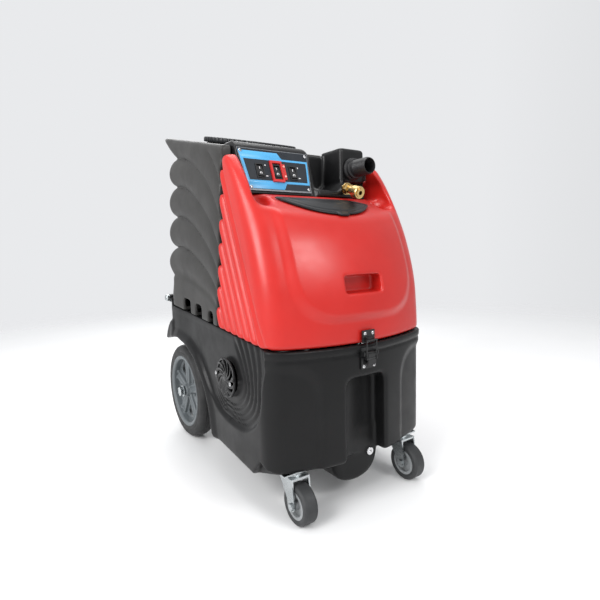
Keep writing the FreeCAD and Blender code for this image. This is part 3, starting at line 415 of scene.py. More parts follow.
PVC = moulded("pipe_white", (0.62, 0.62, 0.59), 0.35)
FLOAT = moulded("float_cream", (0.66, 0.60, 0.46), 0.5)
TYRE = rubber("tyre_black", (0.012, 0.012, 0.0123), 0.60)
CASTER_RUBBER = rubber("caster_rubber", (0.026, 0.027, 0.028), 0.55)
GASKET = rubber("gasket_rubber", (0.02, 0.02, 0.02), 0.6)
ZINC = metal("zinc_bright", (0.52, 0.55, 0.56), 0.27)
STAINLESS = metal("stainless", (0.70, 0.70, 0.71), 0.2, scale=400.0)
BRASS = metal("brass_turned", (0.66, 0.47, 0.20), 0.24, (1.0, 9.0, 1.0), 160.0)
PLATE = metal("plate_brushed", (0.30, 0.31, 0.33), 0.3, (14.0, 1.0, 1.0), 160.0)
MOTOR = metal("motor_cast", (0.50, 0.51, 0.52), 0.42, (1.0, 1.0, 1.0), 240.0)
BLACK_STEEL = moulded("black_steel", (0.006, 0.006, 0.0065), 0.36, peel=0.00005, pebble=0.00005)
LAMP = lens("lamp_pink", (0.86, 0.36, 0.30))

SLOT_MATERIAL = {
    "black_shell": BLACK, "red_shell": RED, "console_black": CONSOLE, "panel_blue": PLATE,
    "red_guard": GUARD, "rocker_black": ROCKER, "lamp": LAMP, "steel_zinc": ZINC,
    "black_steel": BLACK_STEEL, "stainless": STAINLESS, "brass": BRASS, "barb_plastic": KNOB,
    "tyre_black": TYRE, "rim_grey": RIM_GREY, "caster_tyre": CASTER_RUBBER, "caster_core": CORE_GREY,
    "gasket": GASKET, "motor_metal": MOTOR, "pipe_white": PVC, "float_plastic": FLOAT,
}
slot_of = {part["node"]: part["material_slot"] for part in frame["record"]["subparts"]}


# ---------------------------------------------------------------- base shell
BAY = [(-43.0, 40.0), (-43.0, 95.0), (-32.0, 150.0), (-14.0, 190.0), (11.0, 224.0), (45.0, 255.0),
       (95.0, 280.0), (158.0, 292.0), (225.0, 284.0), (290.0, 264.0), (290.0, 40.0)]
STEP_Y = (-128.0, -104.0, -64.0, -28.0, 2.0, 35.0, 78.0, 140.0, 215.0, 300.0)
STEP_Z = (154.0, 158.0, 173.0, 203.0, 238.0, 267.0, 289.0, 300.0, 303.0, 303.0)
SKID_Y = (-284.0, -222.0, -39.0, 100.0)
SKID_Z = (FLOOR_Z, 76.0, 92.0, 94.0)
NICK = [(-220.0, 60.0), (-224.0, 77.0), (-257.0, 115.0), (-283.0, 104.0), (-298.0, 92.0), (-300.0, 60.0)]
HOOD = [(190.0, 331.0), (214.0, 329.0), (228.0, 318.0), (243.0, 300.0), (257.0, 273.0), (240.0, 272.0),
        (190.0, 282.0)]


def step_line(y, z):
    """How far inside the side's S-shaped step a point is, and 0 to 1 from the vent out to the step."""
    behind = (z - curve(y, STEP_Y, STEP_Z)) * 0.78
    dy, dz = y - VENT_Y, z - VENT_Z
    r = np.hypot(dy, dz) + 1e-6
    angle = np.degrees(np.arctan2(-dz, -dy))       # 0 to the front, 90 straight down
    outer = curve(angle, (-1.0, 0.0, 22.0, 45.0, 68.0, 90.0, 120.0), (141.0, 141.0, 140.0, 124.0, 104.0,
                                                                      95.0, 100.0))
    inner = 47.0 + 12.0 * ramp(-angle, -60.0, 0.0)
    low = (r - inner) / (outer - inner)
    front_in = curve(z, (249.0, 290.0, 350.0), (-187.0, -165.0, -118.0))
    front_out = curve(z, (249.0, 287.0, 345.0), (-269.0, -279.0, -282.0))
    high = (front_in - y) / (front_in - front_out)
    ahead = np.where(z > VENT_Z, y - front_out, (outer - r))
    share = np.where(z > VENT_Z, high, low)
    return np.where(y > VENT_Y, behind, ahead), np.where(y > VENT_Y, np.where(z < VENT_Z, low, -1.0), share)


def side_relief(y, z):
    """How far the base's side wall lies inside (+) or outside (-) its nominal plane."""
    within, share = step_line(y, z)
    flare = 6.5 * (1.0 - ramp(polygon(y, z, BAY), 0.0, 26.0))
    recess = 6.0 * ramp(within, -3.0, 7.0) * (1.0 - ramp(y, 60.0, 190.0))
    bands = share * 6.0
    groove = (0.5 + 0.5 * np.cos(2.0 * math.pi * bands)) ** 1.7
    groove = groove * ramp(share, 0.06, 0.14) * (1.0 - ramp(share, 0.93, 1.0))
    dy, dz = y - VENT_Y, z - VENT_Z
    spread = ramp(-dy + np.maximum(-dz, 0.0) * 0.55, -62.0, -12.0)
    above = ramp(z - (VENT_Z - 30.0), 30.0, 0.0) + ramp(-dy, 20.0, 50.0)
    groove = groove * spread * np.clip(above, 0.0, 1.0) * ramp(within, 2.0, 10.0)
    return recess + 3.0 * groove - flare


def foot_line(ax, y):
    """Underside of the base: a deep skid along each side between the rear wheel and the front foot."""
    skid = np.interp(y, SKID_Y, SKID_Z)
    return FLOOR_Z + (skid - FLOOR_Z) * ramp(ax, 150.0, 170.0)


def front_face(ax, z):
    """Front of the base: bowed, with a shallow recess beside each front corner and a rim band."""
    d = smin(ax - 98.0, 303.0 - z, 70.0)
    bowed = FRONT_Y + BOW * (ax / HALF_WIDTH) ** 2
    return bowed + 6.0 * ramp(d, -2.0, 15.0)


def base_outside(x, y, z):
    ax = np.abs(x)
    side = ax - HALF_WIDTH + side_relief(y, z)
    under = z - seam(y)
    front = front_face(ax, z) + 1.3 * hump(under + 15.0, 3.0) - 1.2 * ramp(under, -15.0, -9.0) - y
    body = smax(side, front, 32.0)
    body = smax(body, y - 215.0, 22.0)
    body = smax(body, foot_line(ax, y) - z, 13.0)
    nick = smax(polygon(y, z, NICK), 185.0 - ax, 3.0)
    body = smax(body, -nick, 3.0)
    channel = smax(smax(ax - 49.0, z - 262.0, 22.0), y + 316.0 - 15.0 * ramp(x, -52.0, 26.0), 10.0)
    body = smax(body, -channel, 9.0)
    belly = smax(ax - SUMP_HALF, SUMP_Z - z, 60.0)
    belly = smax(smax(belly, SUMP_Y - y, 12.0), smax(y + 196.0, z - 150.0, 8.0), 12.0)
    body = smin(body, belly, 9.0)
    hood = polygon(y, z, HOOD)
    hood = smax(hood, ax - HALF_WIDTH - 3.0, 8.0)
    body = smin(body, hood, 8.0)
    bay = smax(polygon(y, z, BAY), 112.0 - ax, 10.0)
    body = smax(body, -bay, 5.0)
    beam = smax(smax(ax - 111.5, np.abs(y - 212.0) - 27.0, 8.0), np.abs(z - WHEEL_Z) - 23.0, 8.0)
    return smin(body, beam, 8.0)


def base_shell(x, y, z):
    outside = base_outside(x, y, z)
    under = z - seam(y)
    shell = smax(outside, -(outside + WALL), 1.0)
    shell = smax(shell, under, 3.0)
    ax = np.abs(x)
    lip = smax(np.abs(outside + 6.0) - 5.5, np.abs(under + 6.0) - 6.0, 3.0)
    shell = smin(shell, lip, 2.0)
    vent = np.maximum(np.hypot(y - VENT_Y, z - VENT_Z) - 35.0, 178.0 - ax)
    drain = np.maximum(np.hypot(x - DRAIN_X, z - DRAIN_Z) - 6.2, y - SUMP_Y - 22.0)
    inlets = np.maximum(np.hypot(ax - 70.0, z - 240.0) - 11.3, 190.0 - y)
    axle = np.maximum(np.hypot(y - WHEEL_Y, z - WHEEL_Z) - 8.2, ax - 120.0)
    for hole in (vent, drain, inlets, axle):
        shell = np.maximum(shell, -hole)
    return shell


base = link("base_shell", net("base_shell", base_shell, (-214, -352, 22), (214, 268, 336), 3.0,
                              slope=SEAM_SLOPE), "chassis", "black_shell", "base_housing")
base.data.materials.append(BLACK)

# ---------------------------------------------------------------- red solution tank
LEVEL_Z = (300.0, 318.0, 380.0, 440.0, 490.0, 540.0, 580.0, 620.0, 660.0, 694.0, 720.0)
LEVEL_MID = (-338.0, -338.0, -336.5, -329.0, -314.5, -294.0, -270.0, -244.0, -213.0, -184.0, -162.0)
LEVEL_CORNER = (-300.0, -299.0, -296.0, -290.0, -278.0, -261.0, -243.0, -220.0, -193.0, -166.0, -146.0)
EDGE_Z = (300.0, 380.0, 440.0, 500.0, 560.0, 620.0, 660.0, 700.0)
EDGE_Y = (-84.0, -86.0, -97.0, -108.0, -118.0, -126.0, -131.0, -146.0)
FLUTE_PITCH = 27.0
FLUTE_SLOPE = 0.42


def flutes(y, z):
    """0 to 1 across each upright flute of the side wall, and how strong the flutes are there."""
    q = (y - FLUTE_SLOPE * z + 425.0) / FLUTE_PITCH
    return q - np.floor(q), ramp(q, -0.25, 0.35)


def deck_line(y):
    """Top of the tank between its horns: the fill lid's slope, then the console's ledge."""
    slope = FILL_Z + 4.0 + (y - FILL_Y) * math.tan(FILL_TILT)
    return smin(slope, LEDGE_Z, 6.0)


def red_outside(x, y, z):
    ax = np.abs(x)
    u, strength = flutes(y, z)
    crest = arch(u)
    side = ax - HALF_WIDTH + 6.5 * strength * (1.0 - crest) + 1.5 * ramp(z, 560.0, 700.0)
    mid, corner = curve(z, LEVEL_Z, LEVEL_MID), curve(z, LEVEL_Z, LEVEL_CORNER)
    shield = ramp(smin(150.0 - ax, z - 376.0, 90.0), -7.0, 13.0) * (1.0 - ramp(z, 585.0, 625.0))
    front = mid + (corner - mid) * (ax / HALF_WIDTH) ** 2 - 7.0 * shield + 3.0 - y
    body = smax(side, front, 34.0 - 16.0 * ramp(z, 560.0, 690.0))
    edge = curve(z, EDGE_Z, EDGE_Y) - 11.0 * (1.0 - crest)
    body = smax(body, y - edge, 7.0)
    body = smax(body, seam(y) + 2.0 - z, 9.0)
    tip = z - (698.0 - 0.10 * (y + 150.0))
    return smax(body, tip, 18.0)


def red_shell(x, y, z):
    ax = np.abs(x)
    body = red_outside(x, y, z)
    top = smax(ax - HORN_X, deck_line(y) - z, 12.0)
    outside = smax(body, -top, 8.0)
    valley = np.sqrt(((ax - 152.0) / 20.0) ** 2 + ((y + 216.0) / 34.0) ** 2
                     + ((z - 612.0) / 24.0) ** 2) - 1.0
    outside = smax(outside, -valley * 20.0, 9.0)
    seat = seat_distance(x, y, z)
    outside = smax(outside, -seat, 2.5)
    pocket = smax(smax(ax - 45.0, np.abs(z - POCKET_Z) - 17.0, 9.0), y + 300.0, 6.0)
    pocket_wall = smax(smax(ax - 53.0, np.abs(z - POCKET_Z) - 25.0, 12.0), y + 291.0, 6.0)
    cavity = smax(outside + WALL, -pocket_wall, 3.0)
    shell = smax(outside, -pocket, 5.0)
    shell = smax(shell, -cavity, 1.0)
    ly, lz = slope_frame(y, z)
    mouth = smax(smax(ax - 62.0, np.abs(ly + 32.0) - 20.0, 18.0), np.abs(lz) - 45.0, 2.0)
    return smax(shell, -mouth, 2.0)


def slope_frame(y, z):
    """Local axes of the fill lid: along its slope from the straight upper edge, and out of it."""
    c, s = math.cos(FILL_TILT), math.sin(FILL_TILT)
    return (y - FILL_Y) * c + (z - FILL_Z) * s, -(y - FILL_Y) * s + (z - FILL_Z) * c


def moon(x, ly, grow):
    """Outline of the fill lid's half-moon, grown by some millimetres, negative inside."""
    ax = np.abs(x)
    depth = -79.0 * (1.0 - (np.minimum(ax, 144.0) / 130.0) ** 2.3)
    round_side = (depth - ly) * 0.86
    chord = smax(ly + 9.0, (ly + 9.0 + 0.5 * (x - 64.0)) * 0.894, 10.0)
    return smax(round_side, chord, 6.0) - grow


def seat_distance(x, y, z):
    """Recess in the red tank that the fill lid lies in."""
    ly, lz = slope_frame(y, z)
    return np.maximum(moon(x, ly, 3.0), 2.2 - lz)


red = link("red_tank", net("red_tank", red_shell, (-206, -352, 310), (206, -70, 712), 2.8,
                           slope=SEAM_SLOPE), "tank_assembly", "red_shell", "solution_tank")
red.data.materials.append(RED)

# ---------------------------------------------------------------- dark recovery tank
NOTCH_Z = (380.0, 451.0, 522.0, 598.0, 671.0, 738.0, 812.0, 880.0)
NOTCH_Y = (212.0, 206.0, 190.0, 179.0, 166.0, 157.0, 152.0, 146.0)
SWEEP = (0.30, 0.50, 0.80, 1.0, 1.05, 0.95, 0.90, 0.90)


def rib_share(y, z):
    """Number of the swept rib at a point of the side wall, counted up from the lowest crease."""
    u = np.clip((170.0 - y) / 100.0, 0.0, 3.3)
    drop = 17.0 * u ** 2 + 60.0 * np.maximum(u - 2.1, 0.0) ** 2
    start = z + drop * 0.9
    for _ in range(7):
        start = z + drop * np.interp(start, NOTCH_Z, SWEEP)
    return np.interp(start, NOTCH_Z, np.arange(len(NOTCH_Z)) - 1.0)


def top_line(y):
    """Height of the recovery tank's sloped top."""
    return TOP_Z + (y - TOP_Y) * TOP_SLOPE


def dark_outside(x, y, z):
    ax = np.abs(x)
    n = rib_share(y, z)
    crest = lobe(n - np.floor(n))
    below = ramp(n, -0.15, 0.25)
    fade = 1.0 - ramp(z - top_line(y), -34.0, -6.0)
    side = ax - 196.5 + (5.0 + 8.5 * ramp(y, -60.0, 150.0)) * (1.0 - crest) * below * fade
    rear_n = np.interp(z, NOTCH_Z, np.arange(len(NOTCH_Z)) - 1.0)
    bulge = 29.0 * lobe(rear_n - np.floor(rear_n)) * ramp(z, 446.0, 456.0) * (1.0 - ramp(z, 736.0, 741.0))
    foot = 215.0 - 12.0 * ramp(z, 395.0, 440.0)
    line = np.where(z < 451.0, foot, np.interp(z, NOTCH_Z, NOTCH_Y))
    line = foot + (line - foot) * ramp(z, 425.0, 456.0)
    flare = 94.0 * np.clip((z - 738.0) / 76.0, 0.0, 1.0) ** 1.25
    rear = smax(y - (line + bulge + flare), y - 238.0, 18.0)
    body = smax(side, rear, 34.0)
    body = smax(body, z - top_line(y), 13.0)
    edge = curve(z, EDGE_Z, EDGE_Y)
    wing = np.where(z > 694.0, -140.0, edge + 3.0)
    front = np.where(ax > HORN_X, wing, np.where(z > LEDGE_Z - 6.0, TOP_Y, edge + 3.0)) - y
    return smax(body, front, 4.0)


def lid_frame(x, y, z):
    """Local axes of the round lid: in the sloped top's plane, and out of it."""
    a = math.atan(TOP_SLOPE)
    c, s = math.cos(a), math.sin(a)
    oz = top_line(LID_Y)
    return x, (y - LID_Y) * c + (z - oz) * s, -(y - LID_Y) * s + (z - oz) * c


def dark_shell(x, y, z):
    ax = np.abs(x)
    outside = dark_outside(x, y, z)
    above = z - seam(y) - 2.0
    outside = smax(outside, -above, 4.0)
    lx, ly, lz = lid_frame(x, y, z)
    lr = np.hypot(lx, ly)
    neck = smax(lr - 110.0, np.abs(lz + 6.0) - 7.0, 4.0)
    outside = smin(outside, neck, 6.0)
    cavity = smax(outside + WALL, 62.0 - above, 4.0)
    under = smax(outside + 8.0, above - 55.0, 6.0)
    shell = smax(outside, -cavity, 1.0)
    shell = smax(shell, -under, 2.0)
    for mid, width in ((-49.0, 26.0), (20.0, 38.0), (92.0, 46.0)):
        hole = smax(np.abs(y - mid) - width / 2.0, above - 22.0 - width * 0.22, 12.0)
        hole = np.maximum(hole, 150.0 - ax)
        shell = smax(shell, -hole, 4.0)
    mouth = np.maximum(lr - 96.0, -12.0 - lz)
    valve = np.maximum(np.hypot(x, z - 486.0) - 24.3, 150.0 - y)
    pipe = np.maximum(np.hypot(x + 120.0, y + 30.0) - 21.3, np.abs(z - 430.0) - 40.0)
    for hole in (mouth, valve, pipe):
        shell = np.maximum(shell, -hole)
    return shell


dark = link("recovery_shell", net("recovery_shell", dark_shell, (-206, -152, 300), (206, 262, 826), 3.8,
                                  slope=SEAM_SLOPE), "tank_assembly", "black_shell", "recovery_tank")
dark.data.materials.append(DARK)


# ---------------------------------------------------------------- console
def console_field(x, y, z):
    """Block behind the panel, tray, U-shaped pocket and the port that carries the hose barb."""
    along = (y - PANEL_Y) * 0.335 + (z - PANEL_Z) * 0.942
    out = (z - PANEL_Z) * 0.335 - (y - PANEL_Y) * 0.942
    top = z - 727.0
    block = smax(smax(out, top, 20.0), np.maximum(-171.0 - x, y + 93.0), 5.0)
    shoulder = smax(block, x - 10.0 - 0.02 * (z - 618.0), 18.0)
    low = LEDGE_Z + 1.0 - z
    body = smax(shoulder, low, 3.0)
    floor_top = 634.0 + 22.0 * ramp(x, 48.0, 92.0)
    tray = smax(smax(z - floor_top, -192.0 - y, 10.0), np.maximum(y + 93.0, np.abs(x - 45.0) - 47.0), 6.0)
    body = smin(body, smax(tray, low, 3.0), 12.0)
    back = smax(smax(z - 722.0, np.abs(y + 98.0) - 5.5, 5.0), np.abs(x - 62.0) - 92.0, 6.0)
    body = smin(body, smax(back, low, 2.0), 14.0)
    port = smax(smax(np.abs(x - 117.0) - 36.0, -165.0 - y, 9.0), np.maximum(y + 93.0, z - 733.0), 9.0)
    body = smin(body, smax(port, 656.0 - z, 9.0), 10.0)
    stand = smax(smax(np.abs(x - 112.0) - 26.0, -146.0 - y, 8.0), np.maximum(y + 93.0, z - 690.0), 6.0)
    body = smin(body, smax(stand, low, 3.0), 8.0)
    pocket = smax(smax(np.abs(x - 46.0) - 33.0, 636.0 - z, 44.0), np.maximum(y + 106.0, z - 800.0), 8.0)
    body = smax(body, -pocket, 8.0)
    bore = np.maximum(np.hypot(x - BARB_X, z - BARB_Z) - 16.0, np.abs(y + 150.0) - 70.0)
    inner = smax(smax(block + 5.0, x - 2.0, 8.0), LEDGE_Z - 8.0 - z, 3.0)
    body = np.maximum(np.maximum(body, -bore), -inner)
    window = smax(smax(np.abs(x + 88.0) - 58.0, np.abs(along - 45.0) - 20.0, 3.0), -18.0 - out, 2.0)
    return np.maximum(body, -window)


console = link("console_body", net("console_body", console_field, (-178, -204, 612), (178, -86, 742), 2.0),
               "tank_assembly", "console_black", "console_housing")
console.data.materials.append(CONSOLE)


# ---------------------------------------------------------------- lids
def fill_lid_field(x, y, z):
    """Crowned half-moon with a pull tab and a groove inside its edge, in the slope's local axes."""
    edge = moon(x, y, 0.0)
    crown = 8.0 + 3.6 * ramp(-edge, 0.0, 34.0)
    body = smax(smax(edge, z - crown, 4.5), 4.2 - z, 1.2)
    tab = smax(smax(np.abs(x) - 13.0, np.abs(y + 80.0) - 6.0, 5.0), np.abs(z - 6.6) - 2.2, 2.0)
    body = smin(body, tab, 2.5)
    return body + 0.9 * hump(edge + 9.0, 1.9) * (z > 5.0)


fill_place = Matrix.Translation(Vector((0, FILL_Y, FILL_Z)) * MM) @ Matrix.Rotation(FILL_TILT, 4, "X")
fill = link("fill_cover", net("fill_cover", fill_lid_field, (-136, -92, 1.5), (136, 4, 15), 1.7,
                              place=fill_place), "fill_lid", "black_shell", "fill_lid")
fill.data.materials.append(LID_MAT)

lid_angle = math.atan(TOP_SLOPE)
lid_place = Matrix.Translation(Vector((0, LID_Y, top_line(LID_Y))) * MM) @ Matrix.Rotation(lid_angle, 4, "X")
LID_PROFILE = [(0.0, 2.9), (89.5, 2.9), (89.5, -15.5), (91.0, -16.2), (93.8, -15.5),
               (94.0, 2.7), (109.6, 2.7),
               (117.6, 3.4), (118.4, 5.4), (118.4, 12.6), (117.4, 14.4), (115.0, 15.4), (106.0, 15.6),
               (102.6, 14.8), (99.4, 11.8), (94.0, 10.8), (60.0, 11.2), (24.0, 12.2), (0.0, 12.4)]


def knurl(angle, i):
    return 0.9 * math.cos(60.0 * angle) - 0.9 if 6 <= i <= 11 else 0.0


lid = link("round_lid", lathe("round_lid", LID_PROFILE, lid_place, turns=480, wobble=knurl),
           "recovery_lid", "black_shell", "recovery_lid")
lid.data.materials.append(LID_MAT)


# ---------------------------------------------------------------- vent grilles
def grille_field(x, y, z):
    """Flat disc of twelve spiral blades. Local z is out of the wall, x and y in its plane."""
    r = np.hypot(x, y)
    theta = np.arctan2(y, x)
    edge = smax(np.abs(r - 40.0) - 2.4, z - 4.6, 2.0)
    ring = smax(np.abs(r - 12.0) - 1.6, z - 4.4, 1.5)
    hub = smax(r - 7.0 + 0.3 * z, z - 5.6, 3.0)
    swirl = (theta - 0.026 * (r - 8.0)) * 12.0 / (2.0 * math.pi)
    across = (swirl - np.round(swirl)) * 2.0 * math.pi * r / 12.0
    blade = smax(np.abs(across) - 1.2 - 0.09 * r, np.abs(z - 3.6 + across * 0.28) - 1.9, 1.6)
    blade = np.maximum(blade, r - 41.0)
    body = smin(smin(edge, ring, 2.0), smin(hub, blade, 2.0), 1.5)
    for side in (-1, 1):
        lug = smax(np.hypot(x - 38.0 * side, y - 4.0 * side) - 5.2, z - 7.6, 2.0)
        body = smin(body, lug, 2.0)
    return np.maximum(body, 0.3 - z)


for side, tag in ((-1, "left"), (1, "right")):
    turn = Matrix(((0, 0, side, 0), (side, 0, 0, 0), (0, 1, 0, 0), (0, 0, 0, 1)))
    place = Matrix.Translation(Vector((side * 0.199, VENT_Y * MM, VENT_Z * MM))) @ turn
    mesh = net("vent_" + tag, grille_field, (-46, -46, -1.5), (46, 46, 12), 1.15, place=place)
    vent = link("vent_" + tag, mesh, "chassis", "black_shell", "vent_grille_" + tag)
    vent.data.materials.append(GRILLE)


# ---------------------------------------------------------------- wheels
def rim_field(x, y, z):
    """Local z outwards along the axle."""
    r = np.hypot(x, y)
    theta = np.arctan2(y, x) - math.radians(90.0)
    ring = smax(np.abs(r - 92.0) - 5.0, np.abs(z - 0.5) - 21.5, 5.0)
    bead = smax(np.abs(r - 95.0) - 3.0, np.abs(z - 21.0) - 2.5, 3.0)
    hub = smax(smax(r - 21.0 + 0.25 * np.maximum(z, 0.0), z - 22.0, 5.0), -22.0 - z, 3.0)
    web = smax(np.abs(z) - 2.6, r - 90.0, 3.0)
    turns = theta * 5.0 / (2.0 * math.pi)
    across = (turns - np.round(turns)) * 2.0 * math.pi * r / 5.0
    half = 9.0 + 0.06 * r
    spoke = smax(np.abs(across) - half, np.abs(z - 2.0) - 10.0 + 4.0 * hump(across, 5.0), 4.0)
    spoke = np.maximum(spoke, r - 91.0)
    hole = smax(smax(half + 5.0 - np.abs(across), r - 81.0, 10.0), 26.0 - r, 10.0)
    body = smax(web, -hole, 4.0)
    body = smin(smin(body, spoke, 4.0), smin(smin(ring, bead, 2.0), hub, 4.0), 3.0)
    return np.maximum(body, 8.3 - r)


TYRE_PROFILE = [(96.8, -20.0), (98.0, -22.5), (104.0, -23.2), (112.0, -23.0), (119.0, -21.5), (124.0, -17.5),
                (126.4, -12.0), (127.0, -8.4), (125.6, -7.4), (125.6, -6.2), (127.0, -5.2), (127.0, -1.6),
                (125.6, -0.6), (125.6, 0.6), (127.0, 1.6), (127.0, 5.2), (125.6, 6.2), (125.6, 7.4),
                (127.0, 8.4), (126.4, 12.0), (124.0, 17.5), (119.0, 21.5), (112.0, 23.0), (108.0, 22.4),
                (107.0, 23.0), (104.0, 23.2), (98.0, 22.5), (96.8, 20.0)]

for side, tag in ((-1, "left"), (1, "right")):
    wheel_place = axis_place(side * WHEEL_X, WHEEL_Y, WHEEL_Z, (side, 0, 0))
    body = "rear_wheel_" + tag
    tyre = link("wheel_tyre_" + tag, lathe("wheel_tyre_" + tag, TYRE_PROFILE, wheel_place, 160),
                body, "tyre_black", "rear_tyre_" + tag)
    tyre.data.materials.append(TYRE)
    mesh = net("wheel_rim_" + tag, rim_field, (-100, -100, -26), (100, 100, 27), 2.0, place=wheel_place)
    rim = link("wheel_rim_" + tag, mesh, body, "rim_grey", "rear_rim_" + tag)
    rim.data.materials.append(RIM_GREY)

# ---------------------------------------------------------------- hose barb
ridges = []
for start in (26.0, 31.0, 36.0, 41.0, 46.0, 51.0):
    ridges += [(17.6, start), (18.95, start + 1.6), (18.9, start + 2.6), (17.8, start + 4.2)]
BARB_PROFILE = ([(15.5, 0.4), (24.0, 0.4), (25.0, 1.4), (25.0, 5.0), (24.2, 6.0), (22.0, 7.6), (21.6, 10.0),
                 (22.4, 11.0), (22.4, 14.0), (21.4, 15.2), (19.0, 16.4), (18.9, 24.0)] + ridges
                + [(17.4, 58.6), (16.8, 59.8), (15.8, 60.0), (15.4, 59.0)])
barb = link("hose_barb", lathe("hose_barb", BARB_PROFILE, axis_place(BARB_X, -166.0, BARB_Z, (0, -1, 0)), 96),
            "tank_assembly", "barb_plastic", "vacuum_barb")
barb.data.materials.append(KNOB)

# ---------------------------------------------------------------- control panel overlay
panel_turn = Matrix.Rotation(math.atan2(PANEL_RISE, PANEL_BACK), 4, "X")
panel_place = Matrix.Translation(Vector((PANEL_X, PANEL_Y, PANEL_Z)) * MM) @ panel_turn
PANEL_LENGTH = math.hypot(PANEL_RISE, PANEL_BACK)
ROCKER_X = (-41.0, -2.0, 37.0)                     # along the panel


def overlay(name, outline, low, high, material, holes=(), bevel=0.12):
    """Thin piece of the panel's printed film."""
    mesh = extruded(name, outline, low, high, panel_place, bevel, holes)
    piece = link(name, mesh, "tank_assembly", None)
    piece.data.materials.append(material)
    return piece


def inset(y, left, right):
    """x of the panel's slanted left and right edges at a height, moved inwards."""
    lean = 73.0 + 11.0 * (y - 2.0) / (PANEL_LENGTH - 4.0)
    return -lean + left, lean - right


TOP = PANEL_LENGTH - 3.5
head_l, head_r = inset(TOP, 1.6, 1.6)
band_l, band_r = inset(74.0, 1.6, 1.6)
foot_l, foot_r = inset(5.5, 1.6, 1.6)
field_l, field_r = inset(23.0, 1.6, 1.6)
windows = [[(x - 7.3, 31.2), (x + 7.3, 31.2), (x + 7.3, 58.8), (x - 7.3, 58.8)] for x in ROCKER_X]
overlay("overlay_field", [(foot_l, 5.5), (foot_r, 5.5), (head_r, TOP), (head_l, TOP)], 2.82, 3.0, OVER_BLACK,
        holes=windows, bevel=0.0)
overlay("overlay_header", [(band_l, 74.0), (16.0, 74.0), (7.0, TOP - 4.5), (head_l + 0.6, TOP - 4.5)],
        3.02, 3.14, OVER_BLUE, bevel=0.04)
overlay("overlay_frame", [(field_l, 19.5), (field_r - 1.0, 19.5), (band_r - 1.0, 74.2), (band_l, 74.2)],
        3.02, 3.12, OVER_BLUE, holes=[[(field_l + 6.0, 24.5), (field_r - 5.0, 24.5), (band_r - 5.4, 69.8),
                                       (band_l + 6.5, 69.8)]], bevel=0.04)
overlay("overlay_footer", [(foot_l + 0.4, 6.2), (8.0, 6.2), (16.0, 20.0), (field_l, 20.0)],
        3.02, 3.14, OVER_BLUE, bevel=0.04)

for number, x in enumerate(ROCKER_X):
    turns = np.linspace(0, 2 * math.pi, 13)[:-1]
    dot = [(x + 14.0 + 1.5 * math.cos(a), 58.0 + 1.5 * math.sin(a)) for a in turns]
    if number != 1:
        overlay(f"overlay_dot_{number}", dot, 3.02, 3.16, MARK_WHITE, bevel=0.03)
        dash = [(x + 11.5, 33.6), (x + 16.5, 33.6), (x + 16.5, 35.2), (x + 11.5, 35.2)]
        overlay(f"overlay_dash_{number}", dash, 3.02, 3.16, MARK_WHITE, bevel=0.03)

for body, x in zip(("rocker_left", "rocker_middle", "rocker_right"), ROCKER_X):
    bar = extruded(body + "_bar", [(x - 0.6, 49.0), (x + 0.6, 49.0), (x + 0.6, 54.0), (x - 0.6, 54.0)],
                   3.0, 3.75, panel_place)
    piece = link(body + "_bar", bar, body, None)
    piece.data.materials.append(MARK_WHITE)
    ring_place = panel_place @ Matrix.Translation(Vector((x, 39.0, 0.0)) * MM)
    ring = lathe(body + "_ring", [(1.7, 4.2), (2.7, 4.2), (2.7, 5.55), (1.7, 5.55)], ring_place, 28)
    piece = link(body + "_ring", ring, body, None)
    piece.data.materials.append(MARK_WHITE)

# ---------------------------------------------------------------- carried-over CAD nodes
BEVELS = {"caster": 0.6, "latch": 0.5, "axle_nuts": 0.6, "coupler": 0.35, "hinge": 0.6, "base_hinge": 0.6,
          "tank_hinge": 0.6, "dump": 0.8, "switch_guard": 0.5, "rocker": 0.35, "panel_plate": 0.3,
          "motor_deck": 0.5, "solution_pump": 1.2, "solution_heater": 0.8, "power_inlets": 0.6,
          "drain": 0.3}
for name, piece in frame["nodes"].items():
    material = SLOT_MATERIAL[slot_of[name]]
    piece.data.materials.clear()
    piece.data.materials.append(material)
    for polygon_face in piece.data.polygons:
        polygon_face.material_index = 0
    if piece.hide_render:
        continue
    finish_mesh(piece.data, 32.0)
    width = next((w for key, w in BEVELS.items() if name.startswith(key)), None)
    if width:
        rounding = piece.modifiers.new("edges", "BEVEL")
        rounding.width = width * MM
        rounding.segments = 2
        rounding.limit_method = "ANGLE"
        rounding.angle_limit = math.radians(40.0)
        rounding.harden_normals = False

# ---------------------------------------------------------------- studio
floor_mat, tree, shader, coords = new_material("studio_floor")
tree.links.new(tint(tree, noise(tree, coords, 1.5), (0.80, 0.80, 0.80), (0.84, 0.84, 0.84)),
               shader.inputs["Base Color"])
shader.inputs["Roughness"].default_value = 0.7
# The floor fades into the pale surround between these radii.
FLOOR_CLEAR, FLOOR_EDGE = 1.1, 3.6
reach = tree.nodes.new("ShaderNodeVectorMath")
reach.operation = "LENGTH"
tree.links.new(coords, reach.inputs[0])
fade = between(tree, reach.outputs["Value"], 0.0, 1.0, (FLOOR_CLEAR, FLOOR_EDGE - 0.2))
clear = tree.nodes.new("ShaderNodeBsdfTransparent")
mix = tree.nodes.new("ShaderNodeMixShader")
tree.links.new(fade, mix.inputs["Fac"])
tree.links.new(shader.outputs["BSDF"], mix.inputs[1])
tree.links.new(clear.outputs["BSDF"], mix.inputs[2])
tree.links.new(mix.outputs["Shader"], tree.nodes["Material Output"].inputs["Surface"])
bm = bmesh.new()
bmesh.ops.create_circle(bm, cap_ends=True, segments=96, radius=FLOOR_EDGE)
mesh = bpy.data.meshes.new("studio_floor")
bm.to_mesh(mesh)
bm.free()
studio = bpy.data.objects.new("studio_floor", finish_mesh(mesh, 60.0))
bpy.context.scene.collection.objects.link(studio)
studio.data.materials.append(floor_mat)

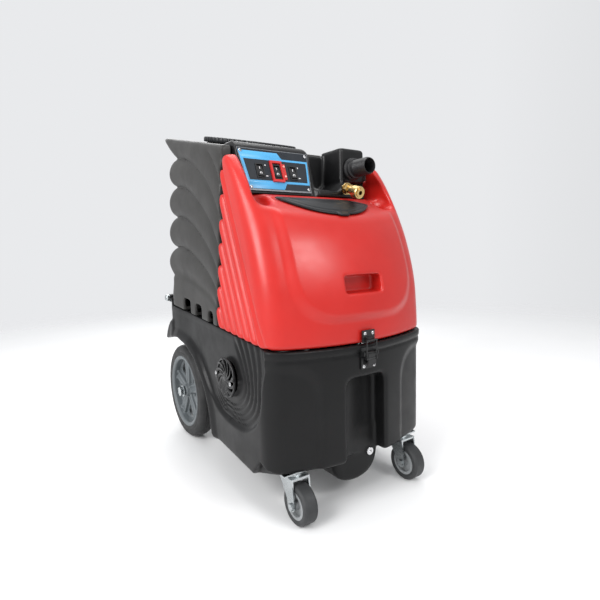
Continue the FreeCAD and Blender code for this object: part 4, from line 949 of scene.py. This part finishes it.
world = bpy.data.worlds.new("studio")
bpy.context.scene.world = world
world.use_nodes = True
tree = world.node_tree
towards = tree.nodes.new("ShaderNodeVectorMath")
towards.operation = "DOT_PRODUCT"
towards.inputs[1].default_value = (0.64, -0.77, 0.0)
tree.links.new(tree.nodes.new("ShaderNodeTexCoord").outputs["Generated"], towards.inputs[0])
tree.links.new(tint(tree, towards.outputs["Value"], (0.97, 0.98, 1.0), (0.70, 0.71, 0.72), (0.1, 0.85)),
               tree.nodes["Background"].inputs["Color"])
tree.nodes["Background"].inputs["Strength"].default_value = 0.84


def area(name, where, target, size, power):
    light = bpy.data.lights.new(name, "AREA")
    light.shape = "RECTANGLE"
    light.size, light.size_y = size
    light.energy = power
    obj = bpy.data.objects.new(name, light)
    bpy.context.scene.collection.objects.link(obj)
    obj.location = where
    obj.rotation_euler = (Vector(target) - Vector(where)).to_track_quat("-Z", "Y").to_euler()
    return obj


area("key", (-2.3, -0.7, 1.7), (0.0, 0.0, 0.40), (1.2, 1.6), 62.0)
area("front", (0.5, -2.4, 1.9), (0.0, -0.1, 0.5), (0.9, 0.7), 26.0)
area("top", (0.1, 0.3, 2.7), (0.0, 0.0, 0.4), (1.6, 1.6), 26.0)
area("back", (0.8, 2.3, 1.7), (0.0, 0.1, 0.5), (1.4, 1.2), 20.0)

# ---------------------------------------------------------------- camera
YAW, PITCH, ROLL = 0.594, 0.111, math.radians(-1.5)
forward = Vector((math.sin(YAW) * math.cos(PITCH), math.cos(YAW) * math.cos(PITCH), -math.sin(PITCH)))
level = Vector((math.cos(YAW), -math.sin(YAW), 0.0))
up = level.cross(forward)
across_axis = level * math.cos(ROLL) + up * math.sin(ROLL)
up_axis = up * math.cos(ROLL) - level * math.sin(ROLL)
camera = bpy.data.objects.new("camera", bpy.data.cameras.new("camera"))
bpy.context.scene.collection.objects.link(camera)
turn = Matrix((across_axis, up_axis, -forward)).transposed().to_4x4()
camera.matrix_world = Matrix.Translation(Vector((-0.581, -0.971, 0.508))) @ turn
camera.data.sensor_width = 36.0
camera.data.lens = 27.12
camera.data.clip_start = 0.05
bpy.context.scene.camera = camera
bpy.context.scene.view_settings.view_transform = "Standard"
